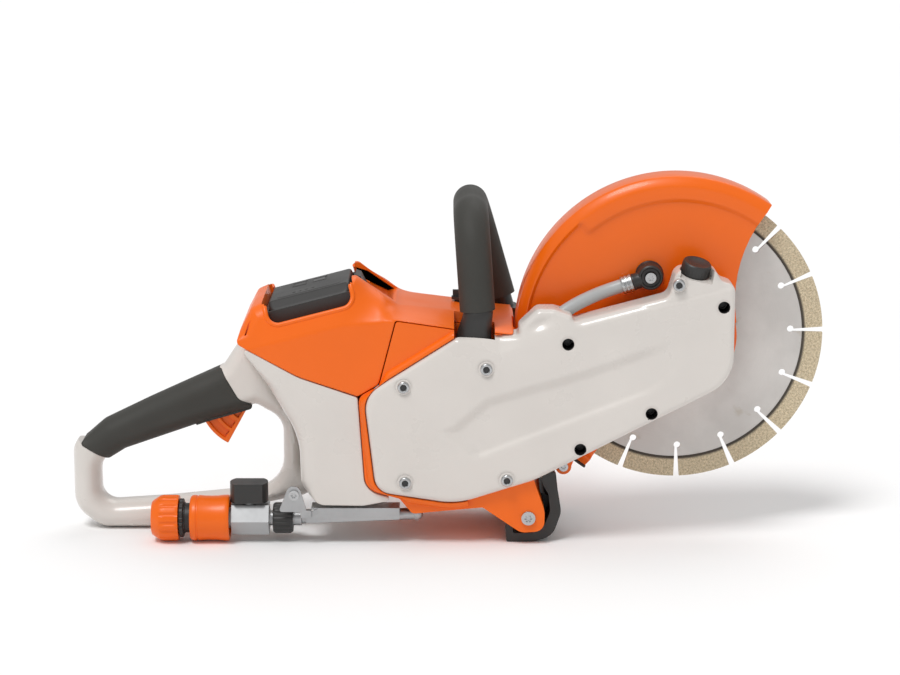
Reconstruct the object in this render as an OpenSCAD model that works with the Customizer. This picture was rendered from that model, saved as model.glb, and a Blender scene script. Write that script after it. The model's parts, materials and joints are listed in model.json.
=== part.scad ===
// Battery-powered cut-off saw for rescue work: a wet-cutting saw with a belt-driven
// diamond wheel, an adjustable guard, a removable battery and a hose connection.
// Frame: millimetres, +X to the cutting wheel, +Y to the operator's left, +Z up.
// The origin is on the floor, in the middle of the saw's length and width.

/* [Cutting wheel] */
// Diameter of the cutting wheel
wheel_d = 230; // [226:1:232]
// Thickness of the steel core
core_t = 2.4; // [2:0.1:2.6]
// Number of diamond segments
segment_count = 16; // [12:1:18]
// Radial height of a segment
segment_h = 16; // [10:1:18]

/* [Drive] */
// Pulley radius on the motor shaft
drive_r = 15; // [12:1:16]
// Pulley radius on the spindle
driven_r = 27; // [24:1:27]
// Width of the ribbed belt
belt_w = 13; // [10:1:14]

/* [Battery] */
// Battery size along the saw
battery_l = 64; // [60:1:65]
// Battery size across the saw
battery_w = 78; // [72:1:79]
// Battery height, along the way it slides out
battery_h = 118; // [110:1:119]
// Backward lean of the battery
battery_lean = 14.5; // [13:0.5:15]

/* [Handles] */
// Radius of the front handle with its sleeve
bar_r = 13.5; // [12:0.5:14]
// Forward lean of the near leg of the front handle
near_lean = 4; // [3:0.5:5]
// Forward lean of the far leg of the front handle
far_lean = 16; // [14:0.5:17]

/* [Guard] */
// Outer radius of the wheel guard
guard_r = 125; // [124:1:126]
// Sheet thickness of the wheel guard
guard_t = 2.2; // [2:0.1:2.5]

/* [Hidden] */
$fn = 48;

// Colours
paint_orange = "#f07a24";
shell_white = "#dad5cf";
grip_black = "#3b3b39";
part_black = "#2b2b2a";
metal = "#b9bcbd";
copper = "#b4683a";
hose_grey = "#c3c6c6";

// Main places
spindle_x = 178.5;
spindle_z = 156;
motor_x = 10;
motor_z = 96;
mid_y = -11;             // middle plane of the body and the rear handle
wheel_y = -13;           // middle plane of the cutting wheel
right_y = -69;           // right wall of the body
left_y = 47;             // left wall of the body
face_y = -75;            // outer face of the arm cover
split_y = -47;           // joint between the arm cover and the drive housing
belt_y = -58;            // middle plane of the belt
plate_y = -33;           // inner face of the arm plate
wall = 3;
gap = 0.4;

// ---------- outlines: corners as [x, z, corner radius], anticlockwise ----------
cover_outline = [
    [-54, 43, 14], [8, 33.5, 60], [68, 52.5, 60], [218.5, 130, 32], [218.5, 204, 13],
    [208, 207.5, 6], [203, 216, 7], [174, 216, 8], [168.5, 195, 8], [97, 176, 3],
    [95, 181, 4], [82, 185, 6], [69, 185, 7], [55, 171.5, 6], [55, 165.5, 2], [8, 164, 10],
    [-63, 119, 22]];
drive_outline = [
    [-26, 25, 4], [28, 30, 3], [57.5, 9.8, 12], [75.5, 11, 14], [75.8, 27, 20],
    [67.5, 51, 3], [60, 60, 4],
    [53, 110, 20], [53, 164.6, 2], [14, 168, 2], [-38, 175.5, 2], [-51, 126, 8],
    [-67, 117, 8], [-62, 44, 14], [-36, 37, 4]];
arm_outline = [
    [-50, 46, 12], [8, 37, 60], [68, 55, 60], [217, 131, 30], [217, 197, 12],
    [168, 191, 8], [97, 172.5, 4], [55, 163, 2], [8, 161, 10], [-59, 118, 20]];
body_outline = [
    [-98, 31.5, 12], [-64, 31, 4], [-38, 36, 2], [-62.5, 43.5, 14], [-67.6, 116.4, 3],
    [-113, 132, 60], [-158, 157, 2], [-136, 124, 40], [-113, 84, 60], [-112, 46, 12]];
top_outline = [
    [-160, 158, 4], [-113, 132.6, 60], [-67.6, 117.4, 3], [-51.6, 126.6, 7],
    [-38.6, 176.2, 2], [14, 168.7, 2], [52, 165.3, 2], [50, 171, 3], [8, 178.5, 10],
    [-20, 181.5, 20], [-36, 184, 12], [-62, 201.5, 8], [-69, 206.5, 4], [-76, 205.5, 2],
    [-140, 187.5, 4], [-149, 183.5, 6], [-157, 168, 20]];
// recess in front of the battery: its opening, its floor and its side walls
recess_half = 29;
recess_outline = [[-76, 198], [-46, 183.8], [-38, 186], [-50, 220], [-76, 220]];
recess_floor = [
    [-73, 193.2], [-46, 180.4], [-40, 180.4], [-40, 184], [-46, 183.8], [-73, 196.6]];
recess_wall = [[-72, 193], [-46, 180.4], [-40, 183], [-62, 199], [-72, 203]];
// lower ledge of the top housing, round the front handle
ledge_x = 16.5;
ledge_cut = [[ledge_x, 171.2], [54, 167.9], [54, 200], [ledge_x, 200]];
loop_outline = [
    [-293.5, 16, 24], [-272, 0, 20], [-232, 0, 30], [-112, 26, 10], [-98, 34, 10],
    [-112, 50, 10], [-113, 84, 60], [-136, 124, 40], [-158, 156, 4], [-162, 149, 4],
    [-174, 131, 6], [-233, 104, 60], [-268, 87, 20], [-293.5, 69, 16]];
hand_hole = [
    [-218, 24, 60], [-128, 33, 26], [-128, 88, 26], [-149, 99.5, 4], [-253, 66, 10],
    [-272, 54, 14], [-272, 20.5, 12]];
grip_outline = [
    [-287, 69.5, 2], [-264.5, 56, 2], [-252, 63.8, 10], [-188, 86, 6], [-147, 98, 3],
    [-162, 106, 10], [-175.5, 129.5, 1.5], [-233, 104, 60], [-268, 87, 20]];
// tongues that join the handle core to the loop, behind and in front of the grip
rear_tongue = [[-292, 60, 2], [-268, 46, 2], [-258, 66, 2], [-276, 76, 2]];
front_tongue = [[-168, 108, 2], [-150, 98, 2], [-140, 110, 2], [-165, 136, 2], [-176, 124, 2]];
// rooms of the trigger in the handle core and in the grip
trigger_room = [
    [-226, 84, 1], [-198.5, 86, 0.5], [-197, 80, 0.5], [-172, 60, 1], [-142, 93, 1],
    [-145, 112, 1], [-176, 120, 2], [-226, 99, 2]];
grip_slot = [[-197, 104, 1], [-197, 80, 1], [-172, 60, 1], [-142, 93, 1], [-145, 112, 1]];

// ---------- outline functions ----------
function inward(a, b) = let (d = [b[0] - a[0], b[1] - a[1]]) [-d[1], d[0]] / norm(d);
// Moves every side of an outline inwards by t (outwards when t is negative).
function inset(p, t) = let (n = len(p)) [
    for (i = [0 : n - 1])
        let (a = p[(i + n - 1) % n], b = p[i], c = p[(i + 1) % n],
             n1 = inward(a, b), n2 = inward(b, c),
             m = (n1 + n2) / (1 + n1 * n2),
             convex = n1[0] * n2[1] - n1[1] * n2[0] > 0 ? 1 : -1)
        [b[0] + t * m[0], b[1] + t * m[1], max(0.2, b[2] - t * convex)]];
// Rounds each corner with an arc of the corner's radius.
function arcs(p, steps = 6) = let (n = len(p)) [
    for (i = [0 : n - 1])
        let (a = p[(i + n - 1) % n], b = p[i], c = p[(i + 1) % n],
             n1 = inward(a, b), n2 = inward(b, c),
             half_turn = acos(max(-1, min(1, n1 * n2))) / 2,
             convex = n1[0] * n2[1] - n1[1] * n2[0] > 0 ? 1 : -1,
             reach = min(norm([a[0] - b[0], a[1] - b[1]]),
                         norm([c[0] - b[0], c[1] - b[1]])) * 0.45,
             r = max(0.05, min(b[2], reach / max(0.01, tan(half_turn)))),
             m = (n1 + n2) / (1 + n1 * n2),
             centre = [b[0], b[1]] + convex * r * m,
             start = atan2(-convex * n1[1], -convex * n1[0]))
        for (s = [0 : steps]) centre + r * [
            cos(start + convex * 2 * half_turn * s / steps),
            sin(start + convex * 2 * half_turn * s / steps)]];

// Points of a loop around two round pulleys, as seen along -Y.
function belt_loop(grow, steps = 24) = let (
    d = [spindle_x - motor_x, spindle_z - motor_z],
    turn = atan2(d[1], d[0]),
    side = acos((drive_r - driven_r) / norm(d))) concat(
    [for (s = [0 : steps]) let (a = turn - side + 2 * side * s / steps)
        [spindle_x, spindle_z] + (driven_r + grow) * [cos(a), sin(a)]],
    [for (s = [0 : steps]) let (a = turn + side + (360 - 2 * side) * s / steps)
        [motor_x, motor_z] + (drive_r + grow) * [cos(a), sin(a)]]);

// ---------- building helpers ----------
// A flat prism of a side-view outline between two Y planes.
module slab(y0, y1, points) {
    translate([0, y1, 0]) rotate([90, 0, 0]) linear_extrude(y1 - y0) polygon(points);
}
// A round bar along Y.
module rod(x, z, y0, y1, r) {
    translate([x, y1, z]) rotate([90, 0, 0]) cylinder(h = y1 - y0, r = r);
}
// A round bar along X.
module axle(y, z, x0, x1, r) {
    translate([x0, y, z]) rotate([0, 90, 0]) cylinder(h = x1 - x0, r = r);
}
// A body turned about an axis along Y: the profile holds [radius, y] points.
module turned(x, z, profile, start = 0, sweep = 360) {
    translate([x, 0, z]) rotate([90, 0, 0]) rotate([0, 0, start])
        rotate_extrude(angle = sweep, $fn = 96)
            polygon([for (p = profile) [p[0], -p[1]]]);
}
// A body turned about an axis along X: the profile holds [radius, x] points.
module turned_x(y, z, profile) {
    translate([0, y, z]) rotate([0, 90, 0]) rotate_extrude($fn = 64) polygon(profile);
}
// A round bar from point a to point b.
module bar(a, b, r) {
    d = b - a;
    translate(a) rotate([0, acos(d[2] / norm(d)), atan2(d[1], d[0])]) cylinder(h = norm(d), r = r);
}
module block(x0, x1, y0, y1, z0, z1) {
    translate([x0, y0, z0]) cube([x1 - x0, y1 - y0, z1 - z0]);
}
// A screw along Y with a round head, a star socket and its shank.
module screw(x, z, y, head_r, head_t, shank_r, length) {
    difference() {
        union() {
            rod(x, z, y - head_t, y, head_r);
            rod(x, z, y, y + length, shank_r);
        }
        for (k = [0 : 2]) translate([x, y - head_t - 1, z]) rotate([0, k * 60, 0])
            translate([-head_r * 0.55, 0, -head_r * 0.14])
                cube([head_r * 1.1, 1 + head_t * 0.7, head_r * 0.28]);
    }
}

// ---------- rear housing and handle ----------
core_half = 13;          // half width of the handle core under the grip
loop_half = 16.5;        // half width of the bare handle loop
trigger_x = -152;
trigger_z = 106;
trigger_r = 42;
room_half = 9.2;         // half width of the trigger's room
lockout_x = -170;
lockout_z = 111;
tray_grow = 3.4;

// A block in the leaning frame of the battery, measured from the middle of its top face.
battery_x = -106;
battery_z = 194;
module battery_space(grow, up, down) {
    translate([battery_x, mid_y, battery_z]) rotate([0, -battery_lean, 0])
        translate([-battery_l / 2 - grow, -battery_w / 2 - grow, -battery_h - down])
            cube([battery_l + 2 * grow, battery_w + 2 * grow, battery_h + down + up]);
}
module rear_shell(side) {
    outer = side < 0 ? right_y : left_y;
    y0 = side < 0 ? outer : mid_y;
    y1 = side < 0 ? mid_y : outer;
    loop_y0 = side < 0 ? mid_y - loop_half : mid_y;
    loop_y1 = side < 0 ? mid_y : mid_y + loop_half;
    core_y0 = side < 0 ? mid_y - core_half : mid_y;
    core_y1 = side < 0 ? mid_y : mid_y + core_half;
    difference() {
        union() {
            difference() {
                slab(loop_y0, loop_y1, arcs(loop_outline));
                slab(loop_y0 - 1, loop_y1 + 1, arcs(hand_hole));
                slab(loop_y0 - 1, loop_y1 + 1, arcs(inset(grip_outline, -0.2)));
            }
            slab(core_y0, core_y1, arcs(inset(grip_outline, 3)));
            slab(core_y0, core_y1, arcs(rear_tongue));
            slab(core_y0, core_y1, arcs(front_tongue));
            slab(y0, y1, arcs(body_outline));
        }
        // hollow of the body
        slab(side < 0 ? outer + wall : mid_y - 1, side < 0 ? mid_y + 1 : outer - wall,
             arcs(inset(body_outline, wall)));
        // hollow of the handle bar around the trigger and its switch
        slab(mid_y - room_half, mid_y + room_half, arcs(trigger_room));
        battery_space(tray_grow + 0.3, 40, 12);
        if (side > 0) rod(lockout_x, lockout_z, mid_y + 5, mid_y + 30, 5.3);
        rod(trigger_x, trigger_z, mid_y - 12.05, mid_y + 12.05, 2.05);
    }
}
module rear_housing_right() { color(shell_white) rear_shell(-1); }
module rear_housing_left() { color(shell_white) rear_shell(1); }
module handle_grip() {
    color(grip_black) difference() {
        slab(mid_y - 17.5, mid_y + 17.5, arcs(grip_outline));
        for (part = [inset(grip_outline, 2.9), inset(rear_tongue, -0.2), inset(front_tongue, -0.5)])
            slab(mid_y - core_half - 0.1, mid_y + core_half + 0.1, arcs(part));
        slab(mid_y - room_half, mid_y + room_half, arcs(grip_slot));
        rod(lockout_x, lockout_z, mid_y + 5, mid_y + 30, 5.3);
    }
}
module trigger() {
    half = 8;
    color(paint_orange) difference() {
        union() {
            intersection() {
                rod(trigger_x, trigger_z, mid_y - half, mid_y + half, trigger_r);
                slab(mid_y - half, mid_y + half, [
                    [trigger_x, trigger_z + 3],
                    [trigger_x - 60, trigger_z - 6],
                    [trigger_x - 60, trigger_z - 111], [trigger_x - 0.5, trigger_z - 3]]);
            }
            rod(trigger_x, trigger_z, mid_y - half, mid_y + half, 5);
        }
        rod(trigger_x, trigger_z, mid_y - 20, mid_y + 20, 2.06);
        // curved pockets in the near side, between stiffening ribs
        for (r = [14, 24, 33]) for (side = [-1, 1])
            translate([trigger_x, mid_y + side * 5.5, trigger_z]) rotate([90, 0, 0])
                rotate([0, 0, 196]) rotate_extrude(angle = 41, $fn = 64)
                    translate([r, side > 0 ? -3 : -0.5]) square([6.5, 3.5]);
    }
}
module trigger_pin() {
    color(metal) rod(trigger_x, trigger_z, mid_y - 12, mid_y + 12, 2);
}
module trigger_switch() {
    color(part_black) {
        block(-221, -201, mid_y - 7, mid_y + 7, 87, 98);
        block(-201, -197.6, mid_y - 3, mid_y + 3, 93, 97);
    }
}
module trigger_lockout() {
    color(part_black) {
        rod(lockout_x, lockout_z, mid_y + 13.5, mid_y + 22, 5);
        rod(lockout_x, lockout_z, mid_y + 22, mid_y + 25, 8);
    }
}

// ---------- top housing, battery and latch ----------
latch_x = -66;
latch_z = 190;
seat_x0 = 6;             // seat of the front handle's right foot
seat_x1 = 37;
module top_housing() {
    color(paint_orange) difference() {
        union() {
            difference() {
                slab(right_y, left_y, arcs(top_outline));
                slab(right_y + wall, left_y - wall, arcs(inset(top_outline, wall)));
            }
            slab(mid_y - recess_half - wall, mid_y + recess_half + wall, recess_floor);
            for (y = [mid_y - recess_half - wall, mid_y + recess_half])
                slab(y, y + wall, recess_wall);
            block(ledge_x - wall, ledge_x, right_y, left_y, 169.5, 176.4);
        }
        slab(right_y - 1, left_y + 1, ledge_cut);
        slab(mid_y - recess_half, mid_y + recess_half, recess_outline);
        battery_space(tray_grow + 0.3, 60, 20);
        // scoop that bares the battery's right flank, and its twin on the left
        for (side = [-1, 1]) translate([battery_x, mid_y, battery_z])
            rotate([0, -battery_lean, 0])
                translate([-battery_l / 2 - 2, side * (battery_w / 2 + 11) - 13, -16])
                    cube([battery_l + 4, 26, 60]);
        // pocket of the battery latch
        block(-72.6, -59, mid_y - 14.5, mid_y + 14.5, 180, 225);
        translate([filter_x, filter_y, 170]) cylinder(h = 30, r = 3.3);
        rod(latch_x, latch_z, mid_y - 16.5, mid_y + 16.5, 2.05);
        // front edge follows the guard
        rod(spindle_x, spindle_z, -31, 12, guard_r + 3);
        // seat of the handle's right foot
        block(seat_x0, seat_x1, right_y - 1, -39, 150, 200);
    }
    // ears that hold the latch pin
    color(paint_orange) difference() {
        for (y = [mid_y - 17.5, mid_y + 14.5])
            slab(y, y + 3, [[-69, 184], [-58, 184], [-60, 193], [-66, 196], [-69, 196]]);
        rod(latch_x, latch_z, mid_y - 16.5, mid_y + 16.5, 2.05);
        battery_space(tray_grow + 0.3, 60, 20);
    }
}
module battery_tray() {
    color(part_black) difference() {
        battery_space(tray_grow, -6, tray_grow + 8);
        battery_space(0.4, 50, 0.4);
        translate([battery_x, mid_y, battery_z]) rotate([0, -battery_lean, 0]) {
            // well of the contact block and the ejector spring
            translate([-24, -30, -battery_h - 8.4]) cube([48, 60, 9]);
            translate([20, -15, -40]) cube([30, 30, 60]);
        }
    }
}
module battery() {
    color(part_black) difference() {
        battery_space(0, 0, 0);
        translate([battery_x, mid_y, battery_z]) rotate([0, -battery_lean, 0]) {
            // chamfered long edges of the top, latch notch, contact slots, display recess
            for (side = [-1, 1])
                translate([-50, side * battery_w / 2, 0]) rotate([45, 0, 0])
                    translate([0, -2, -2]) cube([100, 4, 4]);
            translate([battery_l / 2 - 3, -10, -14]) cube([10, 20, 6]);
            for (k = [-1 : 1]) translate([-12, k * 12 - 2, -battery_h - 1]) cube([24, 4, 9]);
            translate([-24, -30, -0.8]) cube([48, 60, 2]);
        }
    }
}
module battery_contacts() {
    color(copper) translate([battery_x, mid_y, battery_z]) rotate([0, -battery_lean, 0])
        for (k = [-1 : 1]) translate([-10, k * 12 - 1, -battery_h - 8.4]) cube([20, 2, 15]);
}
module ejector_spring() {
    // a flat coil, drawn as a stack of rings, that pushes the battery up when it is let go
    color(metal) translate([battery_x, mid_y, battery_z]) rotate([0, -battery_lean, 0])
        for (side = [-1, 1]) translate([0, side * 24, -battery_h - 8.4])
            ring_stack(3.6, 5, 2, 4);
}
module battery_latch() {
    color(part_black) difference() {
        union() {
            slab(mid_y - 12, mid_y + 12, [
                [-70.5, 187], [-62, 187], [-62, 194], [-66.5, 202.5], [-70.5, 204]]);
            slab(mid_y - 8, mid_y + 8, [[-71.4, 190.5], [-70, 190.5], [-70, 193.5], [-72, 193]]);
        }
        rod(latch_x, latch_z, mid_y - 20, mid_y + 20, 2.06);
    }
}
module latch_pin() {
    color(metal) rod(latch_x, latch_z, mid_y - 16.4, mid_y + 16.4, 2);
}

// ---------- drive housing, arm and covers ----------
cover_screw_at = [[-32.5, 126], [30.5, 140], [-31.5, 51], [46.5, 53], [175.5, 205]];
recessed_at = [[92.5, 159], [210, 187.5], [156.5, 105], [102.5, 77]];
mouth_r = 6;             // way of the hose through the hood
mouth_route = [[108, -46, 189.5], [84, -55, 176.5], [56, -58.5, 159], [30, -59, 152]];
sunk_depth = 16;         // depth of the seats of the sunk screws
hub_r = 29.95;
lug_x = 91;
lug_z = 56;
module drive_housing() {
    color(paint_orange) difference() {
        union() {
            difference() {
                slab(right_y, mid_y, arcs(drive_outline));
                // pocket that takes the arm cover, and the motor space behind the plate
                slab(right_y - 1, split_y, arcs(inset(cover_outline, -gap)));
                slab(plate_y, mid_y + 1, arcs([[-60, 50, 12], [-30, 40, 6], [45, 40, 6], [50, 60, 6],
                    [50, 161, 2], [13, 164, 2], [-35, 171, 3], [-48, 124, 6], [-62, 112, 4]]));
                block(44, 90, -36, mid_y + 1, -1, 35);
                rod(spindle_x, spindle_z, plate_y, 12, guard_r + 3);
            }
            difference() {
                slab(split_y + 0.3, plate_y, arcs(arm_outline));
                slab(split_y - 1, plate_y - 4, arcs(inset(arm_outline, 5)));
            }
            rod(spindle_x, spindle_z, split_y + 0.3, plate_y - 3, 22);
            rod(spindle_x, spindle_z, plate_y - 3, -24, hub_r);
            rod(motor_x, motor_z, split_y + 0.3, plate_y - 3, 19);
            // lug below the front of the arm, with a bolt
            rod(lug_x, lug_z, -44, -37, 6.2);
            slab(-43, -38, [[84, 62.5], [86.5, 52], [95.5, 52], [104, 73]]);
            for (p = concat(cover_screw_at, recessed_at))
                intersection() {
                    rod(p[0], p[1], split_y + 0.3, plate_y - 3, 6);
                    slab(split_y, plate_y, arcs(arm_outline));
                }
        }
        slab(skid_y0 - gap, skid_y1 + gap, arcs(inset(skid_outline, -gap)));
        rod(spindle_x, spindle_z, split_y - 1, -22, 16.02);
        rod(motor_x, motor_z, split_y - 1, plate_y + 1, 14);
        for (p = cover_screw_at) rod(p[0], p[1], split_y - 1, split_y + 11, 2.1);
        for (p = recessed_at) rod(p[0], p[1], split_y - 1, split_y + 11, 2.1);
        block(-34, -13, -63, -48.5, 16, 46);
        rod(skid_bolt_x, skid_bolt_z, -80, 20, 3.1);
        rod(lug_x, lug_z, -46, -30, 2.1);
        block(seat_x0, seat_x1, right_y - 1, -41, 158.5, 180);
        battery_space(tray_grow + 0.3, 10, 12);
    }
}
module motor_cover() {
    color(paint_orange) difference() {
        slab(mid_y, left_y, arcs(drive_outline));
        slab(mid_y - 1, left_y - wall, arcs(inset(drive_outline, wall)));
        block(30, 90, mid_y - 1, left_y + 1, -1, 33);
        rod(spindle_x, spindle_z, -31, 12, guard_r + 3);
        battery_space(tray_grow + 0.3, 10, 12);
        // air outlet louvres
        for (k = [0 : 7]) translate([motor_x - 30, left_y - 10, motor_z - 30 + k * 8])
            rotate([0, -19, 0]) cube([60, 20, 4]);
    }
}
module arm_cover() {
    color(shell_white) difference() {
        union() {
            difference() {
                slab(face_y, split_y, arcs(cover_outline));
                slab(face_y + 2.5, split_y + 1, arcs(inset(cover_outline, 2.5)));
            }
            for (p = cover_screw_at) rod(p[0], p[1], face_y + 1, split_y, 4.6);
            for (p = recessed_at) rod(p[0], p[1], face_y + 1, split_y, 6.4);
            // boss of the spindle lock
            intersection() {
                slab(face_y + 1, split_y - 1, arcs(inset(cover_outline, 1)));
                translate(lock_at) lock_axis() translate([0, 0, -20]) cylinder(h = 18, r = 9);
            }
        }
        for (p = cover_screw_at) rod(p[0], p[1], face_y - 1, split_y + 1, 2.1);
        for (p = recessed_at) {
            rod(p[0], p[1], face_y - 1, face_y + sunk_depth, 4.6);
            rod(p[0], p[1], face_y - 1, split_y + 1, 2.1);
        }
        translate(lock_at) lock_axis() translate([0, 0, -40]) cylinder(h = 41, r = 5.05);
        translate(lock_at) lock_axis() translate([0, 0, -8]) cylinder(h = 30, r = button_r + 0.4);
        // shallow panel with a slanting end
        slab(face_y - 1, face_y + 1, arcs([[-4, 88, 8], [22, 70, 8], [158, 122, 12],
            [172, 163, 12], [30, 121, 12]]));
        block(-34, -13, -63, split_y + 1, 20, 46);
        // mouth of the hose hood, seat of the handle foot
        for (k = [0 : 2]) bar(mouth_route[k], mouth_route[k + 1], mouth_r);
        block(seat_x0, seat_x1, -70, split_y + 1, 159, 170);
        battery_space(tray_grow + 0.3, 10, 12);
    }
}
module cover_screws() {
    color(metal) {
        // the screw above the arm is short, to stay out of the elbow's way
        for (p = cover_screw_at) screw(p[0], p[1], face_y, 4.6, 2.4, 2, p[1] > 200 ? 27 : 34);
        for (p = recessed_at) screw(p[0], p[1], face_y + sunk_depth, 4.2, 2.6, 2, 20);
    }
}

// ---------- motor and belt drive ----------
module motor_stator() {
    color(copper) difference() {
        rod(motor_x, motor_z, -28, 14, 40);
        rod(motor_x, motor_z, -29, 15, 26);
        for (k = [0 : 11]) translate([motor_x, -29, motor_z]) rotate([0, k * 30, 0])
            translate([31, 0, -2]) cube([6, 50, 4]);
    }
}
module motor_rotor() {
    color(metal) {
        rod(motor_x, motor_z, -26, 12, 25.2);
        rod(motor_x, motor_z, -68, -26, 5);
        rod(motor_x, motor_z, 12, 38, 5);
    }
}
module motor_fan() {
    color(part_black) difference() {
        union() {
            rod(motor_x, motor_z, 17, 19, 36);
            rod(motor_x, motor_z, 19, 28, 9);
            for (k = [0 : 8]) translate([motor_x, 19, motor_z]) rotate([0, k * 40, 0])
                translate([8, 0, -1]) cube([27, 8, 2]);
        }
        rod(motor_x, motor_z, 16, 30, 5);
    }
}
module motor_bearings() {
    color(metal) for (y = [-46.4, 32]) difference() {
        rod(motor_x, motor_z, y, y + 8, 13.9);
        rod(motor_x, motor_z, y - 1, y + 9, 5.05);
    }
}
// Ribbed pulley: grooves around the rim between two flanges.
module pulley(x, z, r, bore) {
    half = belt_w / 2;
    ribs = 6;
    pitch = belt_w / ribs;
    turned(x, z, concat(
        [[bore, belt_y - half - 1.6], [r + 3, belt_y - half - 1.6], [r + 3, belt_y - half - 0.4],
         [r, belt_y - half - 0.2]],
        [for (k = [0 : ribs - 1]) for (p = [[0, 0.2], [-1.6, 0.5], [0, 0.8]])
            [r + p[0], belt_y - half + (k + p[1]) * pitch]],
        [[r, belt_y + half + 0.2], [r + 3, belt_y + half + 0.4], [r + 3, belt_y + half + 1.6],
         [bore, belt_y + half + 1.6]]));
}
module drive_pulley() { color(metal) pulley(motor_x, motor_z, drive_r, 5); }
module driven_pulley() { color(metal) pulley(spindle_x, spindle_z, driven_r, 7.5); }
module drive_belt() {
    color(part_black) difference() {
        slab(belt_y - belt_w / 2, belt_y + belt_w / 2, belt_loop(3.4));
        slab(belt_y - belt_w, belt_y + belt_w, belt_loop(0.12));
    }
}
module spindle() {
    color(metal) {
        rod(spindle_x, spindle_z, -68, -24, 7.5);
        rod(spindle_x, spindle_z, -24, -22.1, 14);
    }
}
bearing_y = [-46, -33.5];
module bearing_ring(y, r0, r1) {
    difference() {
        rod(spindle_x, spindle_z, y, y + 9, r1);
        rod(spindle_x, spindle_z, y - 1, y + 10, r0);
        turned(spindle_x, spindle_z, [for (a = [0 : 20 : 340])
            [11.75 + 2.6 * cos(a), y + 4.5 + 2.6 * sin(a)]]);
    }
}
module bearing_outer_rings() { color(metal) for (y = bearing_y) bearing_ring(y, 13.2, 16); }
module bearing_inner_rings() { color(metal) for (y = bearing_y) bearing_ring(y, 7.5, 10.3); }
module bearing_balls() {
    color(metal) for (y = bearing_y) for (k = [0 : 8])
        translate([spindle_x, y + 4.5, spindle_z]) rotate([0, k * 40, 0])
            translate([11.75, 0, 0]) sphere(r = 2.4);
}

// ---------- cutting wheel ----------
module inner_flange() {
    color(metal) difference() {
        union() {
            turned(spindle_x, spindle_z, [[0, -22], [22, -22], [30, -18], [30, -14.3], [0, -14.3]]);
            rod(spindle_x, spindle_z, -14.3, -12, 11);
        }
        rod(spindle_x, spindle_z, -23, -10, 4.1);
    }
}
module outer_flange() {
    color(metal) difference() {
        turned(spindle_x, spindle_z, [[0, -11.7], [30, -11.7], [30, -9.5], [20, -6], [0, -6]]);
        rod(spindle_x, spindle_z, -13, -5, 4.1);
    }
}
module wheel_bolt() {
    color(metal) {
        rod(spindle_x, spindle_z, -22, -6, 4);
        rod(spindle_x, spindle_z, -6, -4.4, 9);
        translate([spindle_x, 1.6, spindle_z]) rotate([90, 0, 0]) cylinder(h = 6, r = 7.5, $fn = 6);
    }
}
slot_start = 1.4;        // turn of the first slot from the front
slot_root = 90;          // distance of a slot's round end from the axis
core_r = wheel_d / 2 - segment_h;
// Slots that widen towards the rim, each from a round hole.
module wheel_slots() {
    pitch = 360 / segment_count;
    for (k = [0 : segment_count - 1]) translate([spindle_x, 0, spindle_z])
        rotate([0, -slot_start - k * pitch, 0])
            slab(wheel_y - 5, wheel_y + 5, [[slot_root, 0], [slot_root, -0.9],
                [wheel_d / 2 + 1, -2.3], [wheel_d / 2 + 1, 2.3], [slot_root, 0.9]]);
}
module wheel_core() {
    pitch = 360 / segment_count;
    color(metal) difference() {
        rod(spindle_x, spindle_z, wheel_y - core_t / 2, wheel_y + core_t / 2, core_r);
        rod(spindle_x, spindle_z, wheel_y - 5, wheel_y + 5, 11.1);
        wheel_slots();
        for (k = [0 : segment_count - 1]) let (a = slot_start + 0.6 + k * pitch)
            rod(spindle_x + slot_root * cos(a), spindle_z + slot_root * sin(a),
                wheel_y - 5, wheel_y + 5, 2.6);
    }
}
module wheel_segments() {
    color("#b9a98a") difference() {
        rod(spindle_x, spindle_z, wheel_y - 1.5, wheel_y + 1.5, wheel_d / 2);
        rod(spindle_x, spindle_z, wheel_y - 5, wheel_y + 5, core_r);
        wheel_slots();
    }
}

// ---------- guard ----------
guard_start = 52;
guard_sweep = 184;
guard_near = -29.5;
guard_far = 9;
module wheel_guard() {
    t = guard_t;
    color(paint_orange) difference() {
        union() {
            turned(spindle_x, spindle_z, [
                [38, guard_near + 0.5], [106, guard_near + 0.5], [109, guard_near - 1.5],
                [119, guard_near - 1.5], [guard_r, guard_near + 4], [guard_r, guard_far - 3],
                [guard_r - 3, guard_far], [84, guard_far], [84, guard_far - t],
                [guard_r - 3 - t * 0.4, guard_far - t], [guard_r - t, guard_far - 3 - t * 0.4],
                [guard_r - t, guard_near + 4 + t * 0.4], [119 - t * 0.4, guard_near - 1.5 + t],
                [109 + t * 0.4, guard_near - 1.5 + t], [106 + t * 0.4, guard_near + 0.5 + t],
                [38, guard_near + 0.5 + t]], guard_start, guard_sweep);
            // narrow web in front of the arm's hub
            turned(spindle_x, spindle_z, [[38, guard_near + 0.5], [46.5, guard_near + 0.5],
                [46.5, guard_near + 0.5 + t], [38, guard_near + 0.5 + t]], -25, guard_start + 26);
            // closed ring that turns on the arm's hub
            turned(spindle_x, spindle_z, [[30, guard_near + 0.4], [40, guard_near + 0.4],
                [40, guard_near + 0.6 + t], [30, guard_near + 0.6 + t]]);
        }
        // swept-back front edge
        rod(spindle_x + 154, spindle_z + 30, guard_near - 10, guard_far + 10, 109.5);
        rod(spindle_x - 22, spindle_z + 49, guard_near - 10, guard_near + 8, 3.05);
    }
}
module guard_clamp_ring() {
    color(metal) turned(spindle_x, spindle_z, [[30, -26.6], [35, -26.6], [35, -24.6], [30, -24.6]]);
}
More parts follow.
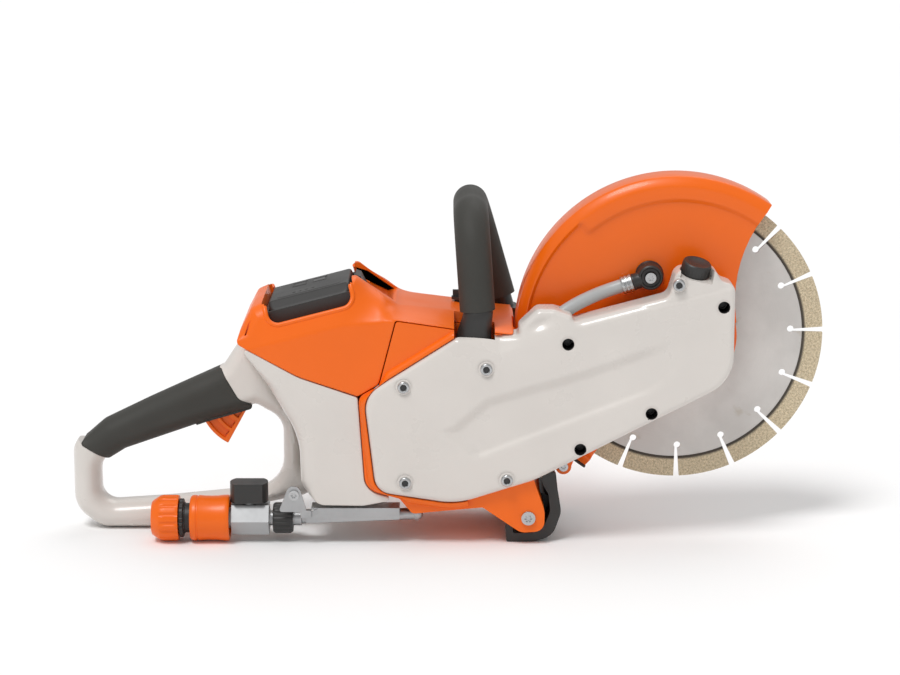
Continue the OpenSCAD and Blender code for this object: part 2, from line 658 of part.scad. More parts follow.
// Rubber strip on the rim, at the lower end of the guard.
module guard_stop() {
    color(part_black) turned(spindle_x, spindle_z, [
        [guard_r + 0.15, guard_near + 5], [guard_r + 2.4, guard_near + 5],
        [guard_r + 2.4, guard_far - 4], [guard_r + 0.15, guard_far - 4]],
        guard_start + guard_sweep - 6, 6.6);
}
module spray_nozzles() {
    // one jet on each side of the wheel, pointing at the core
    color("#c9a24a") for (y = [guard_near + 0.5 + guard_t, guard_far - guard_t - 5])
        rod(spindle_x - 62, spindle_z + (y > -10 ? 66 : 30), y, y + 5, 3);
}
elbow_x = spindle_x - 22;
elbow_z = spindle_z + 49;
hose_turn = 198;         // direction in which the hose leaves the elbow
module water_elbow() {
    color(part_black) difference() {
        union() {
            rod(elbow_x, elbow_z, -45, guard_near + 0.5, 11);
            translate([elbow_x, -39, elbow_z]) rotate([0, -hose_turn, 0]) rotate([0, 90, 0])
                cylinder(h = 14, r = 6.5);
        }
        rod(elbow_x, elbow_z, -50, -20, 3.05);
        rod(elbow_x, elbow_z, -50, -45, 5);
    }
}
module elbow_screw() {
    color(metal) screw(elbow_x, elbow_z, -45, 4.2, 1.2, 3, 22);
}
module hose_ferrule() {
    color(metal) translate([elbow_x, -39, elbow_z]) rotate([0, -hose_turn, 0]) rotate([0, 90, 0])
        difference() {
            translate([0, 0, 14]) cylinder(h = 9, r = 7);
            translate([0, 0, 16]) cylinder(h = 9, r = 5.3);
        }
}
// Hose route: from the elbow down into the hood, round the motor and out to the pipe.
hose_r = 5.2;
hose_route = [
    [139.9, -39, 199.6], [130.8, -39, 196.65], [121.5, -40.5, 193.7], [112, -44, 190.5],
    [102, -48, 186.5], [93, -52, 182], [84, -55, 176.5], [76, -57, 171], [66, -58, 165],
    [56, -58.5, 159], [44, -59, 154.5], [32, -59, 152.5], [18, -59, 150.5],
    [4, -59, 145], [-8, -59, 137], [-15.5, -59, 127], [-19.5, -59, 116], [-21, -59, 105],
    [-21, -58.5, 94], [-20.5, -58, 83], [-19.5, -57.5, 72], [-18.5, -57, 61],
    [-18.5, -56, 51], [-21, -55.3, 43], [-23, -55, 36], [-23, -55, 33]];
function unit(v) = v / norm(v);
function sweep_ring(p, d, r, sides) = let (
    u = unit(cross(d, [0.1, 0.9, 0.42])), v = cross(u, d)) [
    for (s = [0 : sides - 1]) p + r * (cos(360 * s / sides) * u + sin(360 * s / sides) * v)];
module tube(route, r, sides = 12) {
    n = len(route);
    dirs = [for (i = [0 : n - 1]) unit(route[min(i + 1, n - 1)] - route[max(i - 1, 0)])];
    points = [for (i = [0 : n - 1]) each sweep_ring(route[i], dirs[i], r, sides)];
    faces = concat(
        [[for (s = [0 : sides - 1]) s]],
        [for (i = [0 : n - 2]) for (s = [0 : sides - 1]) let (a = i * sides, t = (s + 1) % sides)
            [a + s, a + sides + s, a + sides + t, a + t]],
        [[for (s = [sides - 1 : -1 : 0]) (n - 1) * sides + s]]);
    polyhedron(points, faces);
}
module water_hose() { color(hose_grey) tube(hose_route, hose_r); }

// ---------- spindle lock ----------
button_r = 11.2;
lock_lean = 12;
lock_tilt = 15;
lock_at = [188.6, -60, 212];
module lock_axis() { rotate([lock_tilt, 0, 0]) rotate([0, lock_lean, 0]) children(); }
module spindle_lock_button() {
    color(part_black) translate(lock_at) lock_axis() {
        translate([0, 0, -1]) cylinder(h = 10, r = button_r);
        translate([0, 0, -14]) cylinder(h = 14, r = 5);
        translate([0, 0, -19]) cylinder(h = 6, r = 2.5);
    }
}
// Coil spring drawn as a stack of rings.
module ring_stack(inner, outer, pitch, count) {
    for (k = [0 : count - 1]) translate([0, 0, k * pitch]) difference() {
        cylinder(h = pitch * 0.7, r = outer);
        translate([0, 0, -1]) cylinder(h = pitch + 2, r = inner);
    }
}
// One spring under the spindle lock and two in front of the battery latch.
module return_springs() {
    color(metal) {
        translate(lock_at) lock_axis() translate([0, 0, -7.6]) ring_stack(5.6, 7, 1.3, 5);
        for (y = [mid_y - 6, mid_y + 6])
            translate([-61, y, latch_z]) rotate([0, 90, 0]) ring_stack(1.8, 2.6, 0.6, 3);
    }
}
// Knob that holds the cover of the cooling-air filter.
filter_x = 9.5;
filter_y = 1;
module filter_knob() {
    color(part_black) translate([filter_x, filter_y, 0]) {
        translate([0, 0, 171]) cylinder(h = 9.5, r = 3);
        translate([0, 0, 180.3]) cylinder(h = 2.2, r = 5.5);
        translate([-4.5, -1.5, 181]) cube([9, 3, 6.5]);
    }
}

// ---------- front handle ----------
handle_x = 19;
handle_z = 252;
near_y = -55;
far_y = 63.9;
bend_r = 30;
bar_lap = 0.4;
bar_step = 0.03;
near_length = 86;
far_length = 100;
// The loop of the front handle: a level bar along Y with a leaning leg at each end.
// Each length is a hollow tube from radius r_in to r, or solid when r_in is 0.
module tube_profile(r, r_in) {
    difference() {
        circle(r = r);
        if (r_in > 0) circle(r = r_in);
    }
}
module handle_loop(r, r_in, near_cut, far_cut) {
    translate([handle_x, 0, handle_z]) {
        // the bar laps a little over both bends
        translate([0, near_y + bend_r - bar_lap, 0]) rotate([-90, 0, 0])
            linear_extrude(far_y - near_y - 2 * bend_r + 2 * bar_lap)
                tube_profile(r + bar_step, r_in > 0 ? r_in - bar_step : 0);
        for (leg = [[near_y + bend_r, near_lean, near_length - near_cut, -1],
                    [far_y - bend_r, far_lean, far_length - far_cut, 1]])
            translate([0, leg[0], 0]) rotate([0, -leg[1], 0]) {
                translate([0, 0, -bend_r]) rotate([0, 0, leg[3] > 0 ? 90 : -90]) rotate([90, 0, 0])
                    rotate_extrude(angle = 90, $fn = 64) translate([bend_r, 0]) tube_profile(r, r_in);
                translate([0, leg[3] * bend_r, -leg[2]])
                    linear_extrude(leg[2] - bend_r) tube_profile(r, r_in);
            }
    }
}
module front_handle_tube() {
    color(part_black) handle_loop(10, 8, 0, 0);
}
module front_handle_sleeve() {
    color(grip_black) handle_loop(bar_r, 10.1, 16, 16);
}
module handle_foot_right() {
    color(part_black) difference() {
        slab(-69, -41.5, arcs([[7, 159.5, 3], [34, 159.5, 3], [36, 182.5, 2], [13, 182.5, 2]]));
        handle_loop(10.05, 0, 0, 0);
        handle_loop(bar_r + 0.2, 0, 16, 16);
    }
}
module handle_foot_left() {
    color(part_black) difference() {
        slab(left_y, 74, arcs([[38, 138, 5], [62, 138, 5], [58, 164, 5], [34, 164, 5]]));
        handle_loop(10.05, 0, 0, 0);
        handle_loop(bar_r + 0.2, 0, 16, 16);
    }
}

// ---------- support foot ----------
skid_y0 = -60;
skid_y1 = 36;
skid_outline = [
    [46.5, 0, 2], [68, 0, 22], [82.5, 5, 20], [89, 24, 14], [86, 42, 20], [84.5, 56, 2],
    [73, 51.5, 1.5], [75, 45, 3], [79, 38, 8], [80.5, 24, 12], [75, 11, 12], [66, 7, 16],
    [52, 7, 1], [51, 14, 1], [45.5, 14, 1]];
// notch between the two upper tips
skid_notch = [[70, 44, 1], [95, 44, 1], [95, 62, 1], [70, 62, 1]];
skid_bolt_x = 63.2;
skid_bolt_z = 21.6;
module support_skid() {
    color(part_black) difference() {
        union() {
            difference() {
                slab(skid_y0, skid_y1, arcs(skid_outline));
                slab(skid_y0 + 6, skid_y1 - 6, arcs(skid_notch));
            }
            // inner web that the screws hold
            slab(-34, 30, arcs([[54, 5, 4], [78, 9, 6], [82, 28, 6], [76.8, 32, 3], [54, 33, 4]]));
        }
        rod(skid_bolt_x, skid_bolt_z, skid_y0 - 30, skid_y1 + 30, 3.1);
    }
}
module bracket_screws() {
    color(metal) {
        screw(skid_bolt_x, skid_bolt_z, right_y, 5.4, 2, 3, 50);
        screw(lug_x, lug_z, -44, 3.6, 1.6, 2, 8);
        screw(-117, 40.5, -71.4, 4, 2, 1.8, 2.1);
    }
}

// ---------- water connection ----------
water_y = -55;
water_z = 18;
pipe_r = 4.6;
pipe_end = [-23, water_y, 21.5];
module water_pipe() {
    color(metal) {
        bar([-111.7, water_y, water_z], pipe_end, pipe_r);
        translate(pipe_end) sphere(r = pipe_r + 0.6);
        translate(pipe_end) cylinder(h = 11.5, r = pipe_r);
    }
}
module pipe_bracket() {
    color(metal) difference() {
        union() {
            slab(-67.5, -66, [[-108, 17], [-36, 20], [-36, 29], [-98, 29], [-108, 24]]);
            slab(-66.5, -50, [[-104, 27.4], [-36, 27.4], [-36, 29], [-104, 29]]);
            slab(-71.4, -69.3, arcs([[-129, 27, 2], [-107, 27, 2], [-113, 47, 5], [-121, 47, 5]]));
            block(-112, -104, -71.4, -66, 22, 28);
        }
        rod(-117, 40.5, -75, -65, 1.9);
    }
}
module union_nut() {
    color(part_black) difference() {
        turned_x(water_y, water_z, [
            [0, -134], [11, -134], [12, -133], [12, -120], [10.5, -118.6], [0, -118.6]]);
        turned_x(water_y, water_z, [[0, -135], [6, -135], [6, -117], [0, -117]]);
    }
}
valve_x = -152.5;
module valve_body() {
    color(metal) difference() {
        union() {
            translate([-166, water_y, water_z]) rotate([0, 90, 0]) rotate([0, 0, 30])
                cylinder(h = 29, r = 13.5, $fn = 6);
            axle(water_y, water_z, -140, -112, 5.9);
            axle(water_y, water_z, -173, -163, 8);
            translate([valve_x, water_y, water_z + 8]) cylinder(h = 5.6, r = 5);
        }
        axle(water_y, water_z, -180, -111, 4);
    }
}
module valve_lever() {
    color(part_black) intersection() {
        block(valve_x - 15, valve_x + 15, water_y - 10, water_y + 10, water_z + 13.8, water_z + 29);
        translate([valve_x, water_y, 0]) cylinder(h = 100, r = 14.7);
    }
}
module connector_body() {
    color(part_black) difference() {
        turned_x(water_y, water_z, [[0, -224], [6, -224], [6, -207], [10, -206.6], [15, -206.4],
            [15, -203.4], [11.5, -203.2], [11.5, -173.4], [0, -173.4]]);
        axle(water_y, water_z, -225, -173, 4);
    }
}
module release_sleeve() {
    color(paint_orange) difference() {
        turned_x(water_y, water_z, [
            [0, -198], [16.5, -198], [17.5, -196.5], [17.8, -169], [17, -167.6], [0, -167.6]]);
        turned_x(water_y, water_z, [
            [0, -199], [11.8, -199], [11.8, -172.5], [14.6, -172], [14.6, -166], [0, -166]]);
    }
}
module hose_nut() {
    color(paint_orange) difference() {
        turned_x(water_y, water_z, [[0, -228], [13, -228], [17, -222], [17.8, -207], [0, -207]]);
        turned_x(water_y, water_z, [
            [0, -229], [9, -229], [9, -220], [13.5, -218], [13.5, -206], [0, -206]]);
    }
}
module control_board() {
    color("#2f6b3c") {
        block(-100, -66, -50, 28, 40, 42);
        block(-92, -74, -40, 18, 42, 52);
    }
}

rear_housing_right();
rear_housing_left();
handle_grip();
trigger();
trigger_pin();
trigger_switch();
trigger_lockout();
top_housing();
battery_tray();
battery();
battery_contacts();
ejector_spring();
battery_latch();
latch_pin();
drive_housing();
motor_cover();
arm_cover();
cover_screws();
motor_stator();
motor_rotor();
motor_fan();
motor_bearings();
drive_pulley();
drive_belt();
driven_pulley();
spindle();
bearing_outer_rings();
bearing_inner_rings();
bearing_balls();
inner_flange();
outer_flange();
wheel_bolt();
wheel_core();
wheel_segments();
wheel_guard();
guard_clamp_ring();
guard_stop();
spray_nozzles();
water_elbow();
elbow_screw();
hose_ferrule();
water_hose();
spindle_lock_button();
front_handle_tube();
front_handle_sleeve();
handle_foot_right();
handle_foot_left();
support_skid();
bracket_screws();
water_pipe();
pipe_bracket();
return_springs();
union_nut();
valve_body();
valve_lever();
connector_body();
release_sleeve();
hose_nut();
control_board();
filter_knob();
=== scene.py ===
"""Looks of a battery-powered rescue cut-off saw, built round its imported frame.

Shapes are written in millimetres in the row frame: +X to the cutting wheel, +Y to the
operator's left, +Z up. They become metres when their mesh is made.
"""
import json
import math

import bmesh
import bpy
import numpy as np
from mathutils import Matrix, Vector
from mathutils.geometry import delaunay_2d_cdt


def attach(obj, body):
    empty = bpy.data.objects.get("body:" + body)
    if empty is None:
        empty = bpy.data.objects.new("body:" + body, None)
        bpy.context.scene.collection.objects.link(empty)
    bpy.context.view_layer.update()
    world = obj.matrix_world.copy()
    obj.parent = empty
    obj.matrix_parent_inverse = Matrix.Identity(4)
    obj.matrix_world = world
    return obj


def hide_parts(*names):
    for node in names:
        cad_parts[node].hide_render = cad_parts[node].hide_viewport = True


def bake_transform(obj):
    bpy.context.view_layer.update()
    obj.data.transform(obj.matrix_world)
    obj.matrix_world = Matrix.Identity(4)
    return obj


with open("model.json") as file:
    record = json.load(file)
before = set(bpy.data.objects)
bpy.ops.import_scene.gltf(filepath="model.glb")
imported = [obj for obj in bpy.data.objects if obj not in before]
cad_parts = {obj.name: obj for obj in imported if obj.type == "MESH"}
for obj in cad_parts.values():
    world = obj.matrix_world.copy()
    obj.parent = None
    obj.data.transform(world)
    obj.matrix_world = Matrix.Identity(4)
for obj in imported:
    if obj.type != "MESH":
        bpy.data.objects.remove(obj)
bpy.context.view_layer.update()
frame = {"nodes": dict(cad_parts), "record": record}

MM = 0.001
ROOT = "saw_body"

# Main places, as in the part's source
SPINDLE_X, SPINDLE_Z = 178.5, 156.0
MID_Y = -11.0
RIGHT_Y, LEFT_Y = -69.0, 47.0
FACE_Y, SPLIT_Y = -75.0, -47.0
BATTERY_TOP = (-106.0, MID_Y, 194.0)
BATTERY_LEAN = 14.5
BATTERY_SIZE = (64.0, 78.0, 118.0)
TRAY_GROW = 3.7

# Side-view outlines: corners as (x, z, corner radius), anticlockwise
COVER = [(-54, 43, 14), (8, 33.5, 60), (68, 52.5, 60), (218.5, 130, 32), (218.5, 204, 13),
         (208, 207.5, 6), (203, 216, 7), (174, 216, 8), (168.5, 195, 8), (97, 176, 3),
         (95, 181, 4), (82, 185, 6), (69, 185, 7), (55, 171.5, 6), (55, 165.5, 2), (8, 164, 10),
         (-63, 119, 22)]
DRIVE = [(-26, 25, 4), (28, 30, 3), (57.5, 9.8, 12), (75.5, 11, 14), (75.8, 27, 20),
         (67.5, 51, 3), (60, 60, 4),
         (53, 110, 20), (53, 164.6, 2), (14, 168, 2), (-38, 175.5, 2), (-51, 126, 8),
         (-67, 117, 8), (-62, 44, 14), (-36, 37, 4)]
BODY = [(-98, 31.5, 12), (-64, 31, 4), (-38, 36, 2), (-62.5, 43.5, 14), (-67.6, 116.4, 3),
        (-113, 132, 60), (-158, 157, 2), (-136, 124, 40), (-113, 84, 60), (-112, 46, 12)]
TOP = [(-160, 158, 4), (-113, 132.6, 60), (-67.6, 117.4, 3), (-51.6, 126.6, 7),
       (-38.6, 176.2, 2), (14, 168.7, 2), (52, 165.3, 2), (50, 171, 3), (8, 178.5, 10),
       (-20, 181.5, 20), (-36, 184, 12), (-62, 201.5, 8), (-69, 206.5, 4), (-76, 205.5, 2),
       (-140, 187.5, 4), (-149, 183.5, 6), (-157, 168, 20)]
LOOP = [(-293.5, 16, 24), (-272, 0, 20), (-232, 0, 30), (-112, 26, 10), (-98, 34, 10),
        (-112, 50, 10), (-113, 84, 60), (-136, 124, 40), (-158, 156, 4), (-162, 149, 4),
        (-174, 131, 6), (-233, 104, 60), (-268, 87, 20), (-293.5, 69, 16)]
HAND_HOLE = [(-218, 24, 60), (-128, 33, 26), (-128, 88, 26), (-149, 99.5, 4),
             (-253, 66, 10), (-272, 54, 14), (-272, 20.5, 12)]
GRIP = [(-287, 69.5, 2), (-264.5, 56, 2), (-252, 63.8, 10), (-188, 86, 6), (-147, 98, 3),
        (-162, 106, 10), (-175.5, 129.5, 1.5), (-233, 104, 60), (-268, 87, 20)]
TRIGGER_ROOM = [(-226, 84, 1), (-198.5, 86, 0.5), (-197, 80, 0.5), (-172, 60, 1),
                (-142, 93, 1), (-145, 112, 1), (-176, 120, 2), (-226, 99, 2)]

SEAT = (6.0, 37.0)      # first and last x of the seat of the handle's right foot

# Places of the arm cover's screws, flush ones and sunk ones
FLUSH_SCREWS = [(-32.5, 126), (30.5, 140), (-31.5, 51), (46.5, 53), (175.5, 205)]
SUNK_DEPTH = 16.0
SUNK_SCREWS = [(92.5, 159), (210, 187.5), (156.5, 105), (102.5, 77)]


# ---------- outlines ----------

def arcs(corners, steps=8):
    """Points of an outline whose corners are rounded, each by its own radius."""
    points = []
    count = len(corners)
    for i in range(count):
        a, b, c = (np.array(corners[(i + k) % count][:2], float) for k in (-1, 0, 1))
        n1, n2 = (np.array([-(q - p)[1], (q - p)[0]]) / np.linalg.norm(q - p)
                  for p, q in ((a, b), (b, c)))
        half_turn = math.acos(max(-1.0, min(1.0, float(n1 @ n2)))) / 2
        convex = 1 if n1[0] * n2[1] - n1[1] * n2[0] > 0 else -1
        reach = 0.45 * min(np.linalg.norm(a - b), np.linalg.norm(c - b))
        radius = max(0.05, min(corners[i][2], reach / max(0.01, math.tan(half_turn))))
        centre = b + convex * radius * (n1 + n2) / (1 + n1 @ n2)
        first = math.atan2(-convex * n1[1], -convex * n1[0])
        for s in range(steps + 1):
            angle = first + convex * 2 * half_turn * s / steps
            points.append(centre + radius * np.array([math.cos(angle), math.sin(angle)]))
    return tidy_loop(np.array(points))


def tidy_loop(points, closest=0.05):
    """Drops points that lie on their neighbour."""
    kept = [points[0]]
    for p in points[1:]:
        if np.linalg.norm(p - kept[-1]) > closest:
            kept.append(p)
    if np.linalg.norm(kept[0] - kept[-1]) <= closest:
        kept.pop()
    return np.array(kept)


def circle(x, z, radius, count=32):
    turn = np.arange(count) * 2 * math.pi / count
    return np.stack([x + radius * np.cos(turn), z + radius * np.sin(turn)], 1)


def rounded_box(x0, x1, z0, z1, radius):
    return arcs([(x0, z0, radius), (x1, z0, radius), (x1, z1, radius), (x0, z1, radius)])


def resample(loop, spacing, closed=True):
    """Adds points so that no two neighbours are further apart than the spacing."""
    result = []
    ends = np.roll(loop, -1, 0) if closed else loop[1:]
    for a, b in zip(loop, ends):
        parts = max(1, math.ceil(np.linalg.norm(b - a) / spacing))
        result += [a + (b - a) * k / parts for k in range(parts)]
    if not closed:
        result.append(loop[-1])
    return np.array(result)


def distance(points, line, closed=True):
    """Distance of each point to a line of points, and the side of the line it is on, +1 or -1."""
    ends = np.roll(line, -1, 0) if closed else line[1:]
    starts = line if closed else line[:-1]
    best = np.full(len(points), 1e9)
    side = np.zeros(len(points))
    for a, b in zip(starts, ends):
        d = b - a
        t = np.clip(((points - a) @ d) / max(1e-9, d @ d), 0, 1)
        off = points - a - t[:, None] * d
        gap = np.hypot(off[:, 0], off[:, 1])
        near = gap < best
        best[near] = gap[near]
        side[near] = (d[0] * (points[:, 1] - a[1]) - d[1] * (points[:, 0] - a[0]))[near]
    return best, np.sign(side)


def inside(points, loop):
    """Whether each point lies inside a loop."""
    result = np.zeros(len(points), bool)
    x, z = points[:, 0], points[:, 1]
    for a, b in zip(loop, np.roll(loop, -1, 0)):
        crosses = (a[1] > z) != (b[1] > z)
        with np.errstate(divide="ignore", invalid="ignore"):
            at = a[0] + (z - a[1]) * (b[0] - a[0]) / (b[1] - a[1])
        result ^= crosses & (x < at)
    return result


def depth_in(points, loop):
    """Distance to a loop, above zero inside it."""
    return distance(points, loop)[0] * np.where(inside(points, loop), 1, -1)


def ease(value, start, end):
    """Smooth step from 0 at start to 1 at end."""
    t = np.clip((value - start) / (end - start), 0, 1)
    return t * t * (3 - 2 * t)


def rim(depth, radius):
    """How far a rounded edge lies behind its face, at a distance from the outline."""
    back = radius - np.clip(depth, 0, radius)
    return radius - np.sqrt(np.maximum(0, radius * radius - back * back))


# ---------- meshes ----------

def mesh_object(name, vertices, faces, crease=40, to_metres=True):
    """An object of these vertices and faces, shaded smooth up to the crease angle."""
    mesh = bpy.data.meshes.new(name)
    scale = MM if to_metres else 1.0
    mesh.from_pydata([tuple(float(c) * scale for c in v) for v in vertices], [], faces)
    bm = bmesh.new()
    bm.from_mesh(mesh)
    bmesh.ops.remove_doubles(bm, verts=bm.verts, dist=1e-6)
    bmesh.ops.dissolve_degenerate(bm, edges=bm.edges, dist=1e-7)
    loose = [edge for edge in bm.edges if not edge.link_faces]
    bmesh.ops.delete(bm, geom=loose, context="EDGES")
    bmesh.ops.recalc_face_normals(bm, faces=bm.faces)
    bm.to_mesh(mesh)
    bm.free()
    smooth(mesh, crease)
    obj = bpy.data.objects.new(name, mesh)
    bpy.context.scene.collection.objects.link(obj)
    return obj


def smooth(mesh, crease):
    mesh.polygons.foreach_set("use_smooth", [True] * len(mesh.polygons))
    mesh.set_sharp_from_angle(angle=math.radians(crease))


def in_sheet(points, loop, holes):
    """Whether each point lies inside a loop and outside its holes."""
    keep = inside(points, loop)
    for hole in holes:
        keep &= ~inside(points, hole)
    return keep


def edge_rows(outlines, loop, holes, rings):
    """Rows of points beside each outline, at the depths of the rings."""
    rows = []
    for each in outlines:
        along = np.roll(each, -1, 0) - np.roll(each, 1, 0)
        normal = np.stack([-along[:, 1], along[:, 0]], 1)
        normal /= np.maximum(1e-9, np.linalg.norm(normal, axis=1))[:, None]
        for depth in rings:
            for row in (each + normal * depth, each - normal * depth):
                keep = in_sheet(row, loop, holes)
                for other in outlines:
                    keep &= distance(row, other)[0] > 0.93 * depth
                rows.append(row[keep])
    return rows


def gap_to(points, spots):
    """Distance of each point to the nearest of some spots."""
    return np.concatenate([np.hypot(*(spots[None] - part[:, None]).transpose(2, 0, 1)).min(1)
                           for part in np.array_split(points, 30)])


def grid_inside(loop, holes, outlines, clear, spacing, lines):
    """A triangular grid inside a loop, clear of its outlines and of the lines."""
    (x0, z0), (x1, z1) = loop.min(0), loop.max(0)
    gx, gz = np.meshgrid(np.arange(x0, x1, spacing), np.arange(z0, z1, spacing * 0.87))
    gx[1::2] += spacing / 2
    grid = np.stack([gx.ravel(), gz.ravel()], 1)
    grid = grid[in_sheet(grid, loop, holes)]
    for each in outlines:
        grid = grid[distance(grid, each)[0] > clear]
    for each in lines:
        grid = grid[gap_to(grid, each) > 0.55 * spacing]
    return grid


def triangles(loop, holes, rings, spacing, lines):
    """Covers the inside of a loop with small triangles that follow its edge and the lines."""
    outlines = [resample(each, spacing) for each in [loop] + holes]
    points = outlines + edge_rows(outlines, loop, holes, rings)
    if lines:
        spots = np.concatenate(lines)
        keep = in_sheet(spots, loop, holes)
        for each in [loop] + holes:
            keep &= distance(spots, each)[0] > 0.3
        points.append(spots[keep])
    clear = rings[-1] + 0.6 * spacing if rings else 0.6 * spacing
    points.append(grid_inside(loop, holes, outlines, clear, spacing, lines))
    edges, start = [], 0
    for each in outlines:
        count = len(each)
        edges += [(start + k, start + (k + 1) % count) for k in range(count)]
        start += count
    flat = [Vector((float(p[0]), float(p[1]))) for p in np.concatenate(points)]
    verts, _, faces, *_ = delaunay_2d_cdt(flat, edges, [], 0, 1e-4)
    verts = np.array([(v.x, v.y) for v in verts])
    faces = np.array(faces)
    return verts, faces[in_sheet(verts[faces].mean(1), outlines[0], outlines[1:])]


def relief(loop, front, back, holes=(), rings=(), spacing=1.5, lines=()):
    """A closed sheet inside a loop, between y = front(points, depth) and y = back(points,
    depth, front_y). Depth is the distance to the loop."""
    flat, faces = triangles(loop, list(holes), list(rings), spacing, list(lines))
    depth = distance(flat, loop)[0]
    y_front = front(flat, depth)
    y_back = back(flat, depth, y_front)
    count = len(flat)
    vertices = np.concatenate([np.stack([flat[:, 0], y_front, flat[:, 1]], 1),
                               np.stack([flat[:, 0], y_back, flat[:, 1]], 1)])
    sides = {}
    for a, b, c in faces:
        for edge in ((a, b), (b, c), (c, a)):
            if (edge[1], edge[0]) in sides:
                del sides[(edge[1], edge[0])]
            else:
                sides[edge] = True
    result = [tuple(int(k) for k in f) for f in faces]
    result += [tuple(int(k) + count for k in f[::-1]) for f in faces]
    result += [(int(b), int(a), int(a) + count, int(b) + count) for a, b in sides]
    return vertices, result


def joined(*parts):
    """Several (vertices, faces) as one."""
    vertices, faces, start = [], [], 0
    for v, f in parts:
        vertices.append(np.asarray(v))
        faces += [tuple(k + start for k in face) for face in f]
        start += len(v)
    return np.concatenate(vertices), faces


def mirrored(part, plane_y=MID_Y):
    vertices, faces = part
    vertices = np.array(vertices)
    vertices[:, 1] = 2 * plane_y - vertices[:, 1]
    return vertices, faces


def both_sides(part):
    """A half and its mirror image, without the faces where they meet."""
    vertices, faces = part
    on_plane = abs(np.asarray(vertices)[:, 1] - MID_Y) < 1e-6
    open_half = (vertices, [f for f in faces if not all(on_plane[k] for k in f)])
    return joined(open_half, mirrored(open_half))


def placed(part, matrix):
    vertices, faces = part
    rotation = np.array(matrix)
    return vertices @ rotation[:3, :3].T + rotation[:3, 3], faces


def prism(points, y0, y1):
    """A flat prism of a side-view outline between two Y planes."""
    count = len(points)
    vertices = [(p[0], y, p[1]) for y in (y0, y1) for p in points]
    faces = [tuple(range(count)), tuple(range(2 * count - 1, count - 1, -1))]
    faces += [(k, k + count, (k + 1) % count + count, (k + 1) % count) for k in range(count)]
    return np.array(vertices, float), faces


def block(x0, x1, y0, y1, z0, z1):
    return prism(np.array([(x0, z0), (x1, z0), (x1, z1), (x0, z1)], float), y0, y1)


def revolved(profile, count=96, shape=None, start=0.0, sweep=360.0):
    """Turns a closed profile of (radius, along) points about the local Z axis.
    shape(radius, along, turn) may change a point's radius."""
    full = sweep >= 360.0
    turns = start + np.arange(count if full else count + 1) * sweep / count
    vertices = []
    for turn in turns:
        a = math.radians(turn)
        for r, h in profile:
            radius = shape(r, h, turn) if shape else r
            vertices.append((radius * math.cos(a), radius * math.sin(a), h))
    n, m = len(turns), len(profile)
    faces = []
    for i in range(n if full else n - 1):
        for k in range(m):
            a, b = i * m + k, i * m + (k + 1) % m
            c, d = ((i + 1) % n) * m + (k + 1) % m, ((i + 1) % n) * m + k
            faces.append((a, b, c, d))
    if not full:
        faces += [tuple(range(m)), tuple((n - 1) * m + k for k in range(m - 1, -1, -1))]
    return np.array(vertices), faces


def cylinder(radius, z0, z1, count=48):
    return revolved([(0.0, z0), (radius, z0), (radius, z1), (0.0, z1)], count)


def tube_faces(rows, count):
    """Faces of a closed tube of rows of count points, with a flat face on each end."""
    faces = [tuple(range(count)), tuple(range(rows * count - 1, (rows - 1) * count - 1, -1))]
    for i in range(rows - 1):
        for k in range(count):
            a, b = i * count + k, i * count + (k + 1) % count
            faces.append((a, b, b + count, a + count))
    return faces


def swept(route, radius, sides=24):
    """A round tube along a route."""
    route = np.array(route, float)
    along = np.gradient(route, axis=0)
    along /= np.linalg.norm(along, axis=1)[:, None]
    u = np.cross(along[0], (0.1, 0.9, 0.42))
    vertices = []
    for p, d in zip(route, along):
        u = u - d * (u @ d)
        u /= np.linalg.norm(u)
        v = np.cross(d, u)
        for s in range(sides):
            a = 2 * math.pi * s / sides
            vertices.append(p + radius * (math.cos(a) * u + math.sin(a) * v))
    return np.array(vertices), tube_faces(len(route), sides)


def curve_through(points, per_span=6):
    """Catmull-Rom curve through a row of points."""
    p = np.array(points, float)
    p = np.concatenate([[2 * p[0] - p[1]], p, [2 * p[-1] - p[-2]]])
    result = []
    for i in range(1, len(p) - 2):
        for k in range(per_span):
            t = k / per_span
            a, b, c, d = p[i - 1:i + 3]
            result.append(0.5 * (2 * b + (c - a) * t + (2 * a - 5 * b + 4 * c - d) * t ** 2
                                 + (3 * b - a - 3 * c + d) * t ** 3))
    result.append(p[-2])
    return np.array(result)


def matrix_at(place, toward):
    """Moves local Z to a direction and the origin to a place."""
    turn = Vector((0, 0, 1)).rotation_difference(Vector(toward)).to_matrix().to_4x4()
    return Matrix.Translation(Vector(place)) @ turn


def battery_frame():
    """Frame of the battery: its origin is the middle of the top face and Z leans back."""
    return (Matrix.Translation(Vector(BATTERY_TOP))
            @ Matrix.Rotation(math.radians(-BATTERY_LEAN), 4, "Y"))


def battery_room(grow, up, down):
    length, width, height = BATTERY_SIZE
    box = block(-length / 2 - grow, length / 2 + grow, -width / 2 - grow, width / 2 + grow,
                -height - down, up)
    return placed(box, battery_frame())


def carve(obj, *cutters, crease=40):
    """Cuts each (vertices, faces) out of an object."""
    for k, part in enumerate(cutters):
        tool = mesh_object(f"{obj.name}.tool{k}", *part)
        modifier = obj.modifiers.new("cut", "BOOLEAN")
        modifier.operation = "DIFFERENCE"
        modifier.solver = "EXACT"
        modifier.object = tool
        dg = bpy.context.evaluated_depsgraph_get()
        mesh = bpy.data.meshes.new_from_object(obj.evaluated_get(dg))
        obj.modifiers.clear()
        old, obj.data = obj.data, mesh
        bpy.data.meshes.remove(old)
        bpy.data.objects.remove(tool)
    smooth(obj.data, crease)
    return obj


# ---------- finishes ----------

